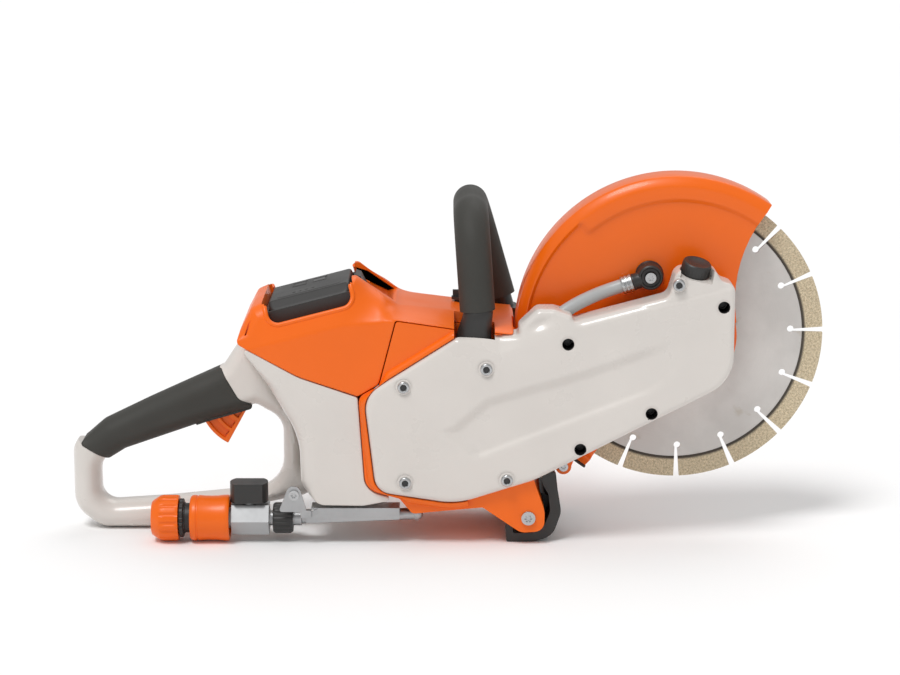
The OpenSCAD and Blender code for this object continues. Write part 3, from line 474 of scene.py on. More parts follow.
class Finish:
    """A material and the node helpers that build it."""

    def __init__(self, name, rough, metal=0.0, specular=0.5, coat=0.0):
        self.material = bpy.data.materials.new(name)
        self.material.use_nodes = True
        self.tree = self.material.node_tree
        self.shader = self.tree.nodes["Principled BSDF"]
        self.shader.inputs["Roughness"].default_value = rough
        self.shader.inputs["Metallic"].default_value = metal
        self.shader.inputs["Specular IOR Level"].default_value = specular
        self.shader.inputs["Coat Weight"].default_value = coat
        self.shader.inputs["Coat Roughness"].default_value = 0.12
        self.place = self.tree.nodes.new("ShaderNodeTexCoord").outputs["Object"]

    def link(self, source, target):
        self.tree.links.new(source, target)

    def stretched(self, scale):
        node = self.tree.nodes.new("ShaderNodeMapping")
        node.inputs["Scale"].default_value = scale
        self.link(self.place, node.inputs["Vector"])
        return node.outputs["Vector"]

    def noise(self, scale, detail=3.0, vector=None, rough=0.5):
        node = self.tree.nodes.new("ShaderNodeTexNoise")
        node.inputs["Scale"].default_value = scale
        node.inputs["Detail"].default_value = detail
        node.inputs["Roughness"].default_value = rough
        self.link(vector or self.place, node.inputs["Vector"])
        return node.outputs["Fac"]

    def math(self, operation, a, b):
        node = self.tree.nodes.new("ShaderNodeMath")
        node.operation = operation
        for socket, value in zip(node.inputs, (a, b)):
            if isinstance(value, (int, float)):
                socket.default_value = value
            else:
                self.link(value, socket)
        return node.outputs["Value"]

    def spread(self, value, low, high, start=0.3, end=0.7):
        node = self.tree.nodes.new("ShaderNodeMapRange")
        for key, number in (("From Min", start), ("From Max", end), ("To Min", low), ("To Max", high)):
            node.inputs[key].default_value = number
        self.link(value, node.inputs["Value"])
        return node.outputs["Result"]

    def blend(self, amount, first, second):
        node = self.tree.nodes.new("ShaderNodeMix")
        node.data_type = "RGBA"
        self.link(amount, node.inputs["Factor"])
        for key, value in ((6, first), (7, second)):
            if isinstance(value, tuple):
                node.inputs[key].default_value = (*value, 1.0)
            else:
                self.link(value, node.inputs[key])
        return node.outputs[2]

    def colour(self, value):
        self.link(value, self.shader.inputs["Base Color"])

    def rough(self, value):
        self.link(value, self.shader.inputs["Roughness"])

    def bump(self, value, strength, height):
        node = self.tree.nodes.new("ShaderNodeBump")
        node.inputs["Strength"].default_value = strength
        node.inputs["Distance"].default_value = height
        self.link(value, node.inputs["Height"])
        self.link(node.outputs["Normal"], self.shader.inputs["Normal"])

    def radius_from(self, x, z):
        """Distance of a point from an axis along Y, in metres."""
        split = self.tree.nodes.new("ShaderNodeSeparateXYZ")
        self.link(self.place, split.inputs["Vector"])
        dx = self.math("SUBTRACT", split.outputs["X"], x * MM)
        dz = self.math("SUBTRACT", split.outputs["Z"], z * MM)
        return self.math("SQRT", self.math("ADD", self.math("MULTIPLY", dx, dx),
                                           self.math("MULTIPLY", dz, dz)), 0.0)


def linear(red, green, blue):
    """An sRGB colour of 0 to 255 as the linear numbers that shaders take."""
    return tuple((c / 255 / 12.92) if c / 255 <= 0.04045 else ((c / 255 + 0.055) / 1.055) ** 2.4
                 for c in (red, green, blue))


def shade(colour, factor):
    return tuple(min(1.0, c * factor) for c in colour)


def moulded(name, colour, rough, grain=1400.0, grain_height=0.00004, scuff=1.12, **more):
    """Moulded or painted surface: faint clouds of tone, light scuffs and a fine grain."""
    f = Finish(name, rough, **more)
    clouds = f.spread(f.noise(14.0, 4.0), 0.0, 1.0)
    tone = f.blend(clouds, shade(colour, 0.97), shade(colour, 1.03))
    scuffs = f.spread(f.noise(75.0, 8.0, rough=0.75), 0.0, 0.35, 0.6, 0.78)
    f.colour(f.blend(scuffs, tone, shade(colour, scuff)))
    wear = f.math("ADD", f.spread(f.noise(32.0, 5.0), rough - 0.05, rough + 0.07),
                  f.math("MULTIPLY", scuffs, 0.25))
    f.rough(wear)
    f.bump(f.noise(grain, 2.0), 0.35, grain_height)
    return f.material


def brushed(name, colour, rough, direction=(300.0, 12.0, 300.0), stain=0.85, **more):
    """Metal with fine drawn lines and faint stains."""
    f = Finish(name, rough, metal=1.0, **more)
    lines = f.noise(4.0, 4.0, f.stretched(direction))
    stains = f.spread(f.noise(28.0, 5.0), 0.0, 1.0)
    base = f.blend(stains, shade(colour, stain), colour)
    f.colour(f.blend(f.spread(lines, 0.0, 1.0), shade(colour, 0.9), base))
    f.rough(f.math("ADD", f.spread(lines, rough - 0.06, rough + 0.08),
                   f.spread(stains, 0.06, 0.0, 0.0, 1.0)))
    f.bump(lines, 0.25, 0.00003)
    return f.material


def wheel_steel():
    """Wheel core: rings of fine grinding round the spindle, with faint stains."""
    colour = linear(214, 210, 206)
    f = Finish("wheel_steel", 0.42, metal=0.55)
    radius = f.radius_from(SPINDLE_X, SPINDLE_Z)
    combine = f.tree.nodes.new("ShaderNodeCombineXYZ")
    f.link(f.math("MULTIPLY", radius, 2600.0), combine.inputs["X"])
    rings = f.noise(1.0, 3.0, combine.outputs["Vector"])
    stains = f.spread(f.noise(17.0, 6.0, rough=0.6), 0.0, 1.0, 0.42, 0.62)
    spots = f.spread(f.noise(60.0, 3.0), 0.0, 0.6, 0.66, 0.76)
    base = f.blend(stains, shade(colour, 0.82), colour)
    base = f.blend(f.spread(rings, 0.0, 1.0), shade(colour, 0.88), base)
    f.colour(f.blend(spots, base, linear(178, 166, 148)))
    f.rough(f.math("ADD", f.spread(rings, 0.34, 0.5), f.spread(stains, 0.1, 0.0, 0.0, 1.0)))
    f.bump(rings, 0.2, 0.00003)
    return f.material


def grit():
    """Sintered diamond segment: sandy metal with grains, darker at its weld."""
    f = Finish("grit", 0.75, metal=0.15)
    grains = f.noise(620.0, 6.0, rough=0.8)
    fine = f.noise(2200.0, 2.0)
    sand = f.blend(f.spread(grains, 0.0, 1.0, 0.38, 0.62), linear(158, 142, 114), linear(232, 216, 184))
    sand = f.blend(f.spread(fine, 0.0, 0.7, 0.55, 0.7), sand, linear(246, 240, 222))
    weld = f.spread(f.radius_from(SPINDLE_X, SPINDLE_Z), 1.0, 0.0, 0.1005, 0.1022)
    f.colour(f.blend(weld, sand, linear(74, 68, 60)))
    f.rough(f.spread(grains, 0.65, 0.9))
    f.bump(grains, 0.9, 0.0003)
    return f.material


def circuit_green():
    """Board lacquer with a grid of paler traces."""
    colour = linear(38, 92, 52)
    f = Finish("circuit_green", 0.4)
    traces = f.noise(260.0, 1.0, f.stretched((1.0, 6.0, 1.0)))
    f.colour(f.blend(f.spread(traces, 0.0, 1.0, 0.5, 0.54), colour, shade(colour, 1.7)))
    f.rough(f.spread(f.noise(40.0), 0.33, 0.5))
    f.bump(traces, 0.3, 0.00005)
    return f.material


ORANGE = linear(243, 106, 6)
FINISHES = {
    "orange_plastic": moulded("orange_moulded", ORANGE, 0.36, specular=0.35, coat=0.08),
    "orange_metal": moulded("orange_painted", ORANGE, 0.32, grain=420.0, grain_height=0.00006,
                            specular=0.35, coat=0.15),
    "light_plastic": moulded("pale_moulded", linear(217, 211, 205), 0.3, scuff=0.985, coat=0.35),
    "black_plastic": moulded("black_moulded", linear(45, 44, 43), 0.42, scuff=1.4),
    "grip_rubber": moulded("grip_rubber", linear(58, 57, 53), 0.62, grain=900.0, grain_height=0.0001,
                           scuff=1.35, specular=0.4),
    "black_metal": moulded("black_painted", linear(34, 34, 35), 0.4, grain=500.0, scuff=1.6, coat=0.1),
    "steel": brushed("bright_steel", linear(196, 197, 198), 0.28),
    "light_alloy": brushed("cast_alloy", linear(188, 189, 190), 0.38, (60.0, 60.0, 60.0)),
    "copper_winding": brushed("copper_wire", linear(184, 104, 60), 0.35, (900.0, 20.0, 900.0), 0.7),
    "diamond_segment": grit(),
    "belt_rubber": moulded("belt_rubber", linear(30, 30, 30), 0.7, grain=700.0, scuff=1.5),
    "hose_rubber": moulded("hose_grey", linear(176, 178, 178), 0.42, grain=800.0, scuff=0.9, coat=0.1),
    "board_green": circuit_green(),
    "brass_parts": brushed("brass", linear(196, 160, 84), 0.3, (200.0, 200.0, 30.0)),
}
WHEEL_STEEL = wheel_steel()


def dress(obj, material):
    obj.data.materials.clear()
    obj.data.materials.append(material)


def piece(name, part, slot, node, body=ROOT, crease=40, finish=None):
    """A shape that stands for a CAD node, in the finish of that node's material slot."""
    obj = mesh_object(name, *part, crease=crease)
    settle(obj, slot, node, body, finish)
    return obj


def settle(obj, slot, node, body=ROOT, finish=None):
    dress(obj, finish or FINISHES[slot])
    if body:
        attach(obj, body)
    if node:
        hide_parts(node)


# ---------- arm cover ----------

EDGE_RINGS = (0.15, 0.45, 0.9, 1.6, 2.45, 2.55, 3.4, 4.5)
UPPER_CREASE = np.array([(6.0, 161.0), (40.5, 150.0), (86.5, 166.0), (218.0, 200.5)])
CHANNEL = [(-8, 91.5, 2), (-3.5, 89.5, 2), (14.5, 73, 4), (25.5, 69, 4), (156.5, 120, 10),
           (185, 142, 10), (178, 167, 10), (105.5, 141, 20), (29.5, 118.5, 8), (3.5, 96.5, 4)]
CHANNEL_DEPTH = 2.8
HOOD_DIP = (72.0, 174.5, 9.0, 3.0)      # hollow in the hose hood: x, z, length, depth
CHANNEL_SIDES = [                       # a line along each side, and the width of its slope
    (np.array([(14.5, 73.0), (25.5, 69.0), (156.5, 120.0), (185, 142)]), 6.5),
    (np.array([(-8.0, 91.5), (14.5, 73.0)]), 12.0),
    (np.array([(-8.0, 91.5), (3.5, 96.5), (29.5, 118.5), (105.5, 141.0), (178, 167)]), 10.0)]
BOSS = (186.5, 199.0)                   # lock boss: middle x, foot z
LOCK_AT = (188.6, -60.0, 212.0)
LOCK_AXIS = Matrix.Rotation(math.radians(15), 4, "X") @ Matrix.Rotation(math.radians(12), 4, "Y")


def cover_front(p, depth):
    x, z = p[:, 0], p[:, 1]
    y = FACE_Y + rim(depth, 4.5)
    gap, side = distance(p, UPPER_CREASE, closed=False)
    above = np.maximum(0, gap * side) * ease(x, 0, 14)
    hood = ease(x, 46, 62) * ease(-x, -104, -96)
    bevel = np.where(above < 1.5, above ** 2 / 3, above - 0.75) * 0.5 * (1 - 0.5 * hood)
    y += np.minimum(bevel, 12 - 10.6 * ease(x, 90, 160))
    y += HOOD_DIP[3] * np.exp(-((x - HOOD_DIP[0]) / HOOD_DIP[2]) ** 2
                              - ((z - HOOD_DIP[1] - 0.35 * (x - HOOD_DIP[0])) / 4.2) ** 2)
    sunk = np.minimum.reduce([ease(distance(p, line, closed=False)[0], 0, width)
                              for line, width in CHANNEL_SIDES])
    y += CHANNEL_DEPTH * np.where(inside(p, arcs(CHANNEL)), sunk, 0) * ease(-x, -182, -140)
    for sx, sz in FLUSH_SCREWS:
        y += 0.6 * np.exp(-((np.hypot(x - sx, z - sz) - 6.0) / 0.7) ** 2)
    for sx, sz in SUNK_SCREWS:
        r = np.hypot(x - sx, z - sz)
        y = np.where(r < 6.2, y + 0.9 * ease(-r, -6.2, -4.8), y)
        y = np.where(r < 4.6, FACE_Y + SUNK_DEPTH - 0.1, y)
    return y


def cover_back(p, depth, front):
    x, z = p[:, 0], p[:, 1]
    y = np.where(depth < 2.5, SPLIT_Y, front + 2.5)
    for sx, sz in FLUSH_SCREWS:
        y = np.where(np.hypot(x - sx, z - sz) < 4.6, SPLIT_Y, y)
    for sx, sz in SUNK_SCREWS:
        y = np.where(np.hypot(x - sx, z - sz) < 6.4, SPLIT_Y, y)
    boss = (abs(x - BOSS[0]) < 16.0) & (z > BOSS[1])
    return np.where(boss, SPLIT_Y - 1, y)


def arm_cover():
    lines = [resample(UPPER_CREASE, 1.5, closed=False), resample(arcs(CHANNEL), 1.2)]
    for sx, sz in SUNK_SCREWS:
        lines += [circle(sx, sz, r) for r in (4.55, 4.65, 5.2, 6.2)]
    for sx, sz in FLUSH_SCREWS:
        lines += [circle(sx, sz, r, 40) for r in (5.2, 6.0, 6.8)]
    part = relief(arcs(COVER), cover_front, cover_back, (), EDGE_RINGS, 1.5, lines)
    obj = mesh_object("arm_cover_shell", *part, crease=50)
    lock = Matrix.Translation(Vector(LOCK_AT)) @ LOCK_AXIS
    carve(obj,
          placed(cylinder(11.6, -8, 30), lock),
          placed(cylinder(5.05, -22, -7), lock),
          placed(block(-12.4, 12.4, -30, 0, -0.8, 30), lock),
          block(-34, -13, -63, SPLIT_Y + 1, 20, 46),
          block(SEAT[0], SEAT[1], -70, SPLIT_Y + 1, 158.5, 172),
          battery_room(TRAY_GROW, 10, 12))
    settle(obj, "light_plastic", "arm_cover")


RIM_SECTION = [(0.5, -68), (0.5, -72.3), (1.2, -73), (2.4, -73), (3.9, -71.8), (5.2, -69.8), (5.8, -68)]


def cover_rim():
    """Raised orange lip of the drive housing, round the rear of the arm cover."""
    line = resample(arcs(COVER), 2.0)
    along = np.roll(line, -1, 0) - np.roll(line, 1, 0)
    outward = np.stack([along[:, 1], -along[:, 0]], 1) / np.linalg.norm(along, axis=1)[:, None]
    rear = (line[:, 0] < 9) | ((line[:, 0] < 18) & (line[:, 1] < 60))
    first = np.flatnonzero(rear & ~np.roll(rear, 1))[0]
    order = [(first + k) % len(line) for k in range(int(rear.sum()))]
    room = distance(line, arcs(DRIVE))[0]
    vertices = []
    for i in order:
        share = min(1.0, (room[i] - 0.3) / RIM_SECTION[-1][0])
        vertices += [(*(line[i] + outward[i] * d * share), y) for d, y in RIM_SECTION]
    vertices = np.array(vertices)[:, [0, 2, 1]]
    obj = mesh_object("cover_rim", vertices, tube_faces(len(order), len(RIM_SECTION)), crease=35)
    carve(obj, block(SEAT[0], SEAT[1], RIGHT_Y - 5, -39, 150, 200), block(-34, -13, -63, SPLIT_Y, 16, 46))
    settle(obj, "orange_plastic", None)


# ---------- rear housing and grip ----------

HOUSING_RINGS = (0.2, 0.6, 1.2, 2.0, 2.95, 3.05, 4.2, 5.6, 7.2, 9.0)
BODY_SEAM = np.array([(-98, 31.5), (-64, 31), (-38, 36), (-62.5, 43.5), (-67.6, 116.4),
                      (-113, 132), (-158, 157)], float)
LOOP_HALF, GRIP_HALF, CORE_HALF = 16.5, 17.5, 13.1
TRIGGER_HALF = 9.3
ROOM_HALF = 9.2         # half width of the room cut for the trigger
PAST_HALF = 30.0        # half width of a cut that goes right through the handle
TRIGGER_SLOT = [(-197, 104, 1), (-197, 80, 1), (-172, 60, 1), (-142, 93, 1), (-145, 112, 1)]
GRIP_CROWN = [(-286, 69.2), (-268, 84), (-233, 101), (-176.2, 127.5), (-178.6, 133.8), (-236, 109),
              (-272, 91), (-292.5, 73)]


def body_front(p, depth):
    radius = 1.0 + 9.0 * ease(distance(p, BODY_SEAM, closed=False)[0], 2, 20)
    return RIGHT_Y + rim(depth, radius)


def shell_back(wall, base=MID_Y):
    return lambda p, depth, front: np.where(depth < wall, base, front + wall)


def handle_front(half, radius, top, bottom):
    """Side of a handle bar that is rounded towards both of its edges."""
    def front(p, depth):
        near = np.minimum(distance(p, top)[0], distance(p, bottom)[0])
        bulge = np.sqrt(1 - (1 - np.clip(near / radius, 0, 1)) ** 2)
        return MID_Y - half * (0.12 + 0.88 * bulge)
    return front


def rear_housing():
    body = relief(arcs(BODY), body_front, shell_back(3.0), (), HOUSING_RINGS, 1.8)
    loop, hole = arcs(LOOP), arcs(HAND_HOLE)
    bar = relief(loop, handle_front(LOOP_HALF, 11.0, loop, hole),
                 lambda p, depth, front: np.full(len(p), MID_Y), [hole],
                 (0.1, 0.35, 0.8, 1.5, 2.5, 4.0, 6.0, 8.0), 1.8)
    room = prism(arcs(TRIGGER_ROOM), MID_Y - ROOM_HALF, MID_Y + ROOM_HALF)
    skin = prism(arcs(GRIP), MID_Y - PAST_HALF, MID_Y + PAST_HALF)
    above = prism(np.array(GRIP_CROWN, float), MID_Y - PAST_HALF, MID_Y + PAST_HALF)
    right = mesh_object("rear_handle_right", *bar)
    carve(right, room, skin, above, battery_room(TRAY_GROW, 40, 12))
    cut = ([v.co / MM for v in right.data.vertices],
           [tuple(face.vertices) for face in right.data.polygons])
    for side, name in ((-1, "right"), (1, "left")):
        handle = right if side < 0 else mesh_object("rear_handle_left", *mirrored(cut))
        settle(handle, "light_plastic", f"rear_housing_{name}")
        shell = mesh_object(f"rear_body_{name}", *(body if side < 0 else mirrored(body)))
        carve(shell, battery_room(TRAY_GROW, 40, 12))
        settle(shell, "light_plastic", f"rear_housing_{name}")


GRIP_TOP = arcs([(-293.5, 69, 16), (-268, 87, 20), (-233, 104, 60), (-174, 131, 6), (-150, 150, 2),
                 (-150, 220, 2), (-293.5, 220, 2)])
GRIP_BOTTOM = arcs([(-300, 40, 4), (-272, 48, 14), (-264.5, 56, 2), (-252, 63.8, 10), (-188, 86, 6),
                    (-147, 98, 3), (-120, 106, 4), (-120, -50, 2), (-300, -50, 2)])


def handle_grip():
    shape = handle_front(GRIP_HALF, 13.0, GRIP_TOP, GRIP_BOTTOM)

    def front(p, depth):
        return shape(p, depth) + 0.7 * (1 - ease(depth, 0, 1.2))

    def back(p, depth, front_y):
        rim_y = np.where(inside(p, arcs(TRIGGER_SLOT)), MID_Y - TRIGGER_HALF, MID_Y)
        hollow = np.minimum(rim_y, np.maximum(front_y + 2.5, MID_Y - CORE_HALF))
        return np.where(depth < 2.9, rim_y, hollow)

    side = relief(arcs(GRIP), front, back, (), (0.15, 0.5, 1.2, 2.0, 2.85, 2.95, 4.0, 6.0), 1.6)
    obj = mesh_object("grip_rubber_skin", *both_sides(side))
    carve(obj, prism(circle(-170, 111, 5.3), MID_Y + 5, MID_Y + 30))
    settle(obj, "grip_rubber", "handle_grip")


# ---------- top housing ----------

TOP_CREASE = np.array([(-162, 151), (-152, 153), (-79, 172), (-41, 175.5), (14, 168.5), (56, 164.5)], float)
TOP_SEAM = np.array([(-160, 158), (-113, 132.6), (-67.6, 117.4), (-51.6, 126.6), (-38.6, 176.2),
                     (14, 168.7), (52, 165.3)], float)
FILTER = (9.5, 1.0)
RECESS_HALF = 29.0
RECESS = [(-76, 198), (-46, 183.8), (-38, 186), (-50, 220), (-76, 220)]
RECESS_PAN = [(-73, 193.2), (-46, 180.4), (-38, 180.4), (-38, 183), (-62, 199.5), (-73, 203)]
LEDGE_X = 16.5
LEDGE_CUT = [(LEDGE_X, 171.2), (54, 167.9), (54, 200), (LEDGE_X, 200)]


def top_front(p, depth):
    gap, side = distance(p, TOP_CREASE, closed=False)
    above = np.maximum(0, gap * side)
    slope = 0.36 + 0.5 * ease(p[:, 0], -78, -52) + 2.2 * ease(p[:, 0], -50, -26)
    lean = np.where(above < 1.2, above ** 2 / 2.4, above - 0.6) * slope
    radius = 1.0 + 8.5 * ease(distance(p, TOP_SEAM, closed=False)[0], 2, 11)
    return RIGHT_Y + lean + rim(depth, radius)


def top_housing():
    side = relief(arcs(TOP), top_front, shell_back(3.1), (),
                  (0.2, 0.6, 1.2, 2.0, 3.05, 3.15, 4.4, 6.0, 8.0, 9.6), 1.8,
                  [resample(TOP_CREASE, 1.6, closed=False)])
    obj = mesh_object("top_shell", *both_sides(side))
    length, width, _ = BATTERY_SIZE
    lean = battery_frame()
    dip = rounded_box(-length / 2 - 2, length / 2 + 2, -16, 60, 9)
    carve(obj,
          battery_room(TRAY_GROW, 60, 20),
          placed(prism(dip, -width / 2 - 24, -width / 2 + 2), lean),
          placed(prism(dip, width / 2 - 2, width / 2 + 24), lean),
          prism(np.array(RECESS, float), MID_Y - RECESS_HALF, MID_Y + RECESS_HALF),
          block(-72.6, -59, MID_Y - 14.5, MID_Y + 14.5, 180, 225),
          prism(np.array([(-153.5, 164), (-152.3, 164), (-145.8, 184), (-147, 184)], float),
                RIGHT_Y - 2, RIGHT_Y + 9),
          placed(cylinder(3.3, 150, 210), Matrix.Translation((FILTER[0], FILTER[1], 0))),
          prism(circle(SPINDLE_X, SPINDLE_Z, 128, 180), -31, 12),
          prism(np.array(LEDGE_CUT, float), RIGHT_Y - 2, LEFT_Y + 2),
          block(SEAT[0], SEAT[1], RIGHT_Y - 1, -39, 150, 200))
    settle(obj, "orange_plastic", "top_housing")
    ledge_step()
    battery_recess()
    battery_rims(dip, lean)


def ledge_step():
    """The slanted step where the deck drops to the arm."""
    step = np.array([(RIGHT_Y + 4, 169.6), (LEFT_Y - 4, 169.6), (LEFT_Y - 24, 176.2), (RIGHT_Y + 24, 176.2)])
    turned = placed(prism(step, -LEDGE_X, 3 - LEDGE_X), Matrix.Rotation(math.radians(90), 4, "Z"))
    wall = mesh_object("ledge_step", *turned)
    carve(wall, block(SEAT[0], SEAT[1], RIGHT_Y - 1, -39, 150, 200))
    settle(wall, "orange_plastic", "top_housing")


def battery_recess():
    """The latch's ears and the pan they stand in, in front of the battery."""
    ears = [prism(np.array([(-69, 184), (-58, 184), (-60, 193), (-66, 196), (-69, 196)], float), y, y + 3)
            for y in (MID_Y - 17.5, MID_Y + 14.5)]
    piece("latch_ears", joined(*ears), "orange_plastic", "top_housing")
    half = RECESS_HALF + 3
    floor = mesh_object("battery_recess", *prism(np.array(RECESS_PAN, float), MID_Y - half, MID_Y + half))
    carve(floor, prism(np.array(RECESS, float), MID_Y - RECESS_HALF, MID_Y + RECESS_HALF),
          block(-74, -59, MID_Y - 14.5, MID_Y + 14.5, 170, 225), battery_room(TRAY_GROW, 60, 20))
    settle(floor, "orange_plastic", "top_housing")


def battery_rims(dip, lean):
    """Raised rims along the dips in the side walls."""
    for sign, name in ((-1, "right"), (1, "left")):
        edge = [p for p in resample(dip, 1.5) if p[1] < -1.0]
        edge = sorted(edge, key=lambda q: math.atan2(q[1] - 8, q[0]) % (2 * math.pi))
        world = [lean @ Vector((u, 0, w)) for u, w in edge]
        flat = np.array([(v.x, v.z) for v in world])
        y = top_front(flat, distance(flat, arcs(TOP))[0]) - MID_Y
        route = [(v.x, MID_Y - sign * k - sign * 0.9, v.z) for v, k in zip(world, y)]
        piece(f"battery_rim_{name}", swept(route, 1.9, 16), "orange_plastic", "top_housing")


# ---------- battery ----------

SHOULDER = 29.0     # half width of the level part of the battery's top


def battery():
    length, width, height = BATTERY_SIZE
    panel = rounded_box(-26, 26, -27, 27, 6)

    def top(p, depth):
        shoulder = np.maximum(0, abs(p[:, 1]) - SHOULDER)
        y = 0.4 + rim(depth, 2.5) + np.where(shoulder < 1, shoulder ** 2 / 2, shoulder - 0.5) * 0.8
        raised = depth_in(p, panel)
        y -= 0.4 * ease(raised, 0, 1.4)
        for k in range(5):
            for u in (-9.0, 7.0):
                slot = np.hypot(np.maximum(0, abs(p[:, 0] - u) - 4.5), p[:, 1] - 6 - 4.4 * k)
                y += 1.1 * ease(-slot, -1.5, -0.9)
        for k in range(4):
            y += 0.5 * ease(-np.hypot(p[:, 0] + 12 - 5 * k, p[:, 1] + 19), -1.6, -1.1)
        return y

    loop = rounded_box(-length / 2, length / 2, -width / 2, width / 2, 7)
    lines = [resample(panel, 0.8)]
    lines += [np.stack([np.arange(-31.2, 31.3, 0.8), np.full(79, v)], 1)
              for v in (-SHOULDER - 0.6, -SHOULDER, SHOULDER, SHOULDER + 0.6)]
    part = relief(loop, top, lambda p, depth, y: np.full(len(p), height), (),
                  (0.2, 0.6, 1.3, 2.4, 3.6, 5.0), 0.9, lines)
    upright = Matrix(((1, 0, 0, 0), (0, 0, 1, 0), (0, -1, 0, 0), (0, 0, 0, 1)))
    obj = mesh_object("battery_pack", *placed(part, battery_frame() @ upright))
    notch = block(length / 2 - 3, length / 2 + 6, -10, 10, -14, -8)
    slots = [block(-12, 12, 12 * k - 2, 12 * k + 2, -height - 1, -height + 8) for k in (-1, 0, 1)]
    carve(obj, *[placed(each, battery_frame()) for each in [notch] + slots])
    settle(obj, "black_plastic", "battery", "battery_body")


# ---------- guard ----------

GUARD_R, GUARD_T = 125.0, 2.2
GUARD_PATH = [(38, -29), (44, -29), (47.5, -29), (50, -29), (54, -29), (60, -29), (68, -29), (76, -29),
              (85, -29), (95, -29), (104.5, -29), (105.6, -29.3),
              (107.6, -30.8), (108.8, -31), (114, -31), (115.4, -31), (117.6, -31), (118.8, -30.7),
              (123.6, -27.0), (124.7, -25.8), (125, -24.5), (125, -10), (125, 5), (124.6, 6.8), (123.4, 8.3),
              (121.5, 9), (110, 9), (96, 9), (84, 9)]
GUARD_START, GUARD_END = 49.5, 236.0
WEB_START, WEB_REACH = 9.0, 100.0       # near face: turn at the hub ring, radius where the hood starts
FRONT_CUT = (154.0, 30.0, 109.5)        # circle that sweeps the front edge back, from the spindle


def guard_first_turn(r):
    """Turn at which the guard starts, on a circle of this radius round the spindle."""
    cx, cz, cut = FRONT_CUT
    reach = math.hypot(cx, cz)
    share = (r * r + reach * reach - cut * cut) / (2 * r * reach)
    turn = math.degrees(math.atan2(cz, cx) + math.acos(share)) if abs(share) < 1 else WEB_START
    return turn if r < WEB_REACH else max(GUARD_START, turn)


def guard_shell():
    outer = np.array(GUARD_PATH, float)
    along = np.gradient(outer, axis=0)
    along /= np.linalg.norm(along, axis=1)[:, None]
    inner = outer + GUARD_T * np.stack([-along[:, 1], along[:, 0]], 1)
    back_points = {tuple(p) for p in inner}
    steps = 150
    vertices = []
    for i in range(steps + 1):
        for r, y in np.concatenate([outer, inner]):
            turn = guard_first_turn(min(r, GUARD_R))
            if y > -20:
                turn = max(GUARD_START, turn)
            turn += (GUARD_END - turn) * i / steps
            if 104 < r < 117.4 and y < -25:
                level = -29 + (GUARD_T if (r, y) in back_points else 0)
                y += (max(y, level) - y) * float(ease(np.array([turn]), 129, 131.5)[0])
            a = math.radians(turn)
            vertices.append((SPINDLE_X + r * math.cos(a), y, SPINDLE_Z + r * math.sin(a)))
    count = len(outer)
    faces = []
    for i in range(steps):
        a, b = i * 2 * count, (i + 1) * 2 * count
        for k in range(count - 1):
            faces.append((a + k, a + k + 1, b + k + 1, b + k))
            faces.append((a + count + k, b + count + k, b + count + k + 1, a + count + k + 1))
        for k in (0, count - 1):
            faces.append((a + k, b + k, b + count + k, a + count + k))
    for a in (0, steps * 2 * count):
        faces += [(a + k, a + k + 1, a + count + k + 1, a + count + k) for k in range(count - 1)]
    obj = mesh_object("guard_hood", np.array(vertices), faces, 35)
    settle(obj, "orange_metal", "wheel_guard", "guard_body")
    ring = revolved([(30, 0.4), (40, 0.4), (40, 2.8), (30, 2.8)], 96)
    web = revolved([(38, 0.5), (46.2, 0.5), (46.5, 0.8), (46.5, 2.4), (46.2, 2.7), (38, 2.7)], 48,
                   start=-WEB_START - 3, sweep=WEB_START + 23)
    piece("guard_hub_ring", placed(joined(ring, web), matrix_at((SPINDLE_X, -29.5, SPINDLE_Z), (0, 1, 0))),
          "orange_metal", "wheel_guard", "guard_body")


# ---------- water hose and elbow ----------

HOSE_ROUTE = [
    (139.9, -39, 199.6), (130.8, -39, 196.65), (121.5, -40.5, 193.7), (112, -44, 190.5),
    (102, -48, 186.5), (93, -52, 182), (84, -55, 176.5), (76, -57, 171), (66, -58, 165),
    (56, -58.5, 159), (44, -59, 154.5), (32, -59, 152.5), (18, -59, 150.5),
    (4, -59, 145), (-8, -59, 137), (-15.5, -59, 127), (-19.5, -59, 116), (-21, -59, 105),
    (-21, -58.5, 94), (-20.5, -58, 83), (-19.5, -57.5, 72), (-18.5, -57, 61),
    (-18.5, -56, 51), (-21, -55.3, 43), (-23, -55, 36), (-23, -55, 33)]


def water_hose():
    part = swept(curve_through(HOSE_ROUTE), 5.2, 28)
    obj = piece("feed_hose", part, "hose_rubber", "water_hose", body=None)
    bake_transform(obj)


ELBOW = (156.5, -39.0, 205.0)
HOSE_TURN = math.radians(198)
HOSE_OUT = (math.cos(HOSE_TURN), 0, math.sin(HOSE_TURN))


def water_elbow():
    flange = [(3.05, -10), (10.7, -10), (10.9, -9.6), (10.9, -8.0), (10.3, -7.2), (9.9, -6.4), (9.8, 3.6),
              (9.4, 4.9), (8.6, 5.6), (7.8, 5.6), (7.2, 5.0), (6.9, 4.2), (5.0, 4.2), (5.0, 1), (3.05, 1)]
    neck = [(0, 7), (6.3, 7), (6.3, 12.2), (6.5, 12.6), (6.5, 14), (0, 14)]
    part = joined(placed(revolved(flange, 96), matrix_at(ELBOW, (0, -1, 0))),
                  placed(revolved(neck, 64), matrix_at(ELBOW, HOSE_OUT)))
    piece("swivel_elbow", part, "black_plastic", "water_elbow", "guard_body", 30)


def hose_ferrule():
    profile = [(5.3, 16), (6.4, 14.2), (6.9, 14.6), (7, 15.2), (7, 16.6), (6.5, 17.0), (6.5, 17.6),
               (7, 18.0), (7, 19.4), (6.5, 19.8), (6.5, 20.4), (7, 20.8), (7, 22.2), (6.6, 22.9), (5.3, 23)]
    piece("crimped_ferrule", placed(revolved(profile, 64), matrix_at(ELBOW, HOSE_OUT)),
          "steel", "hose_ferrule", "guard_body")


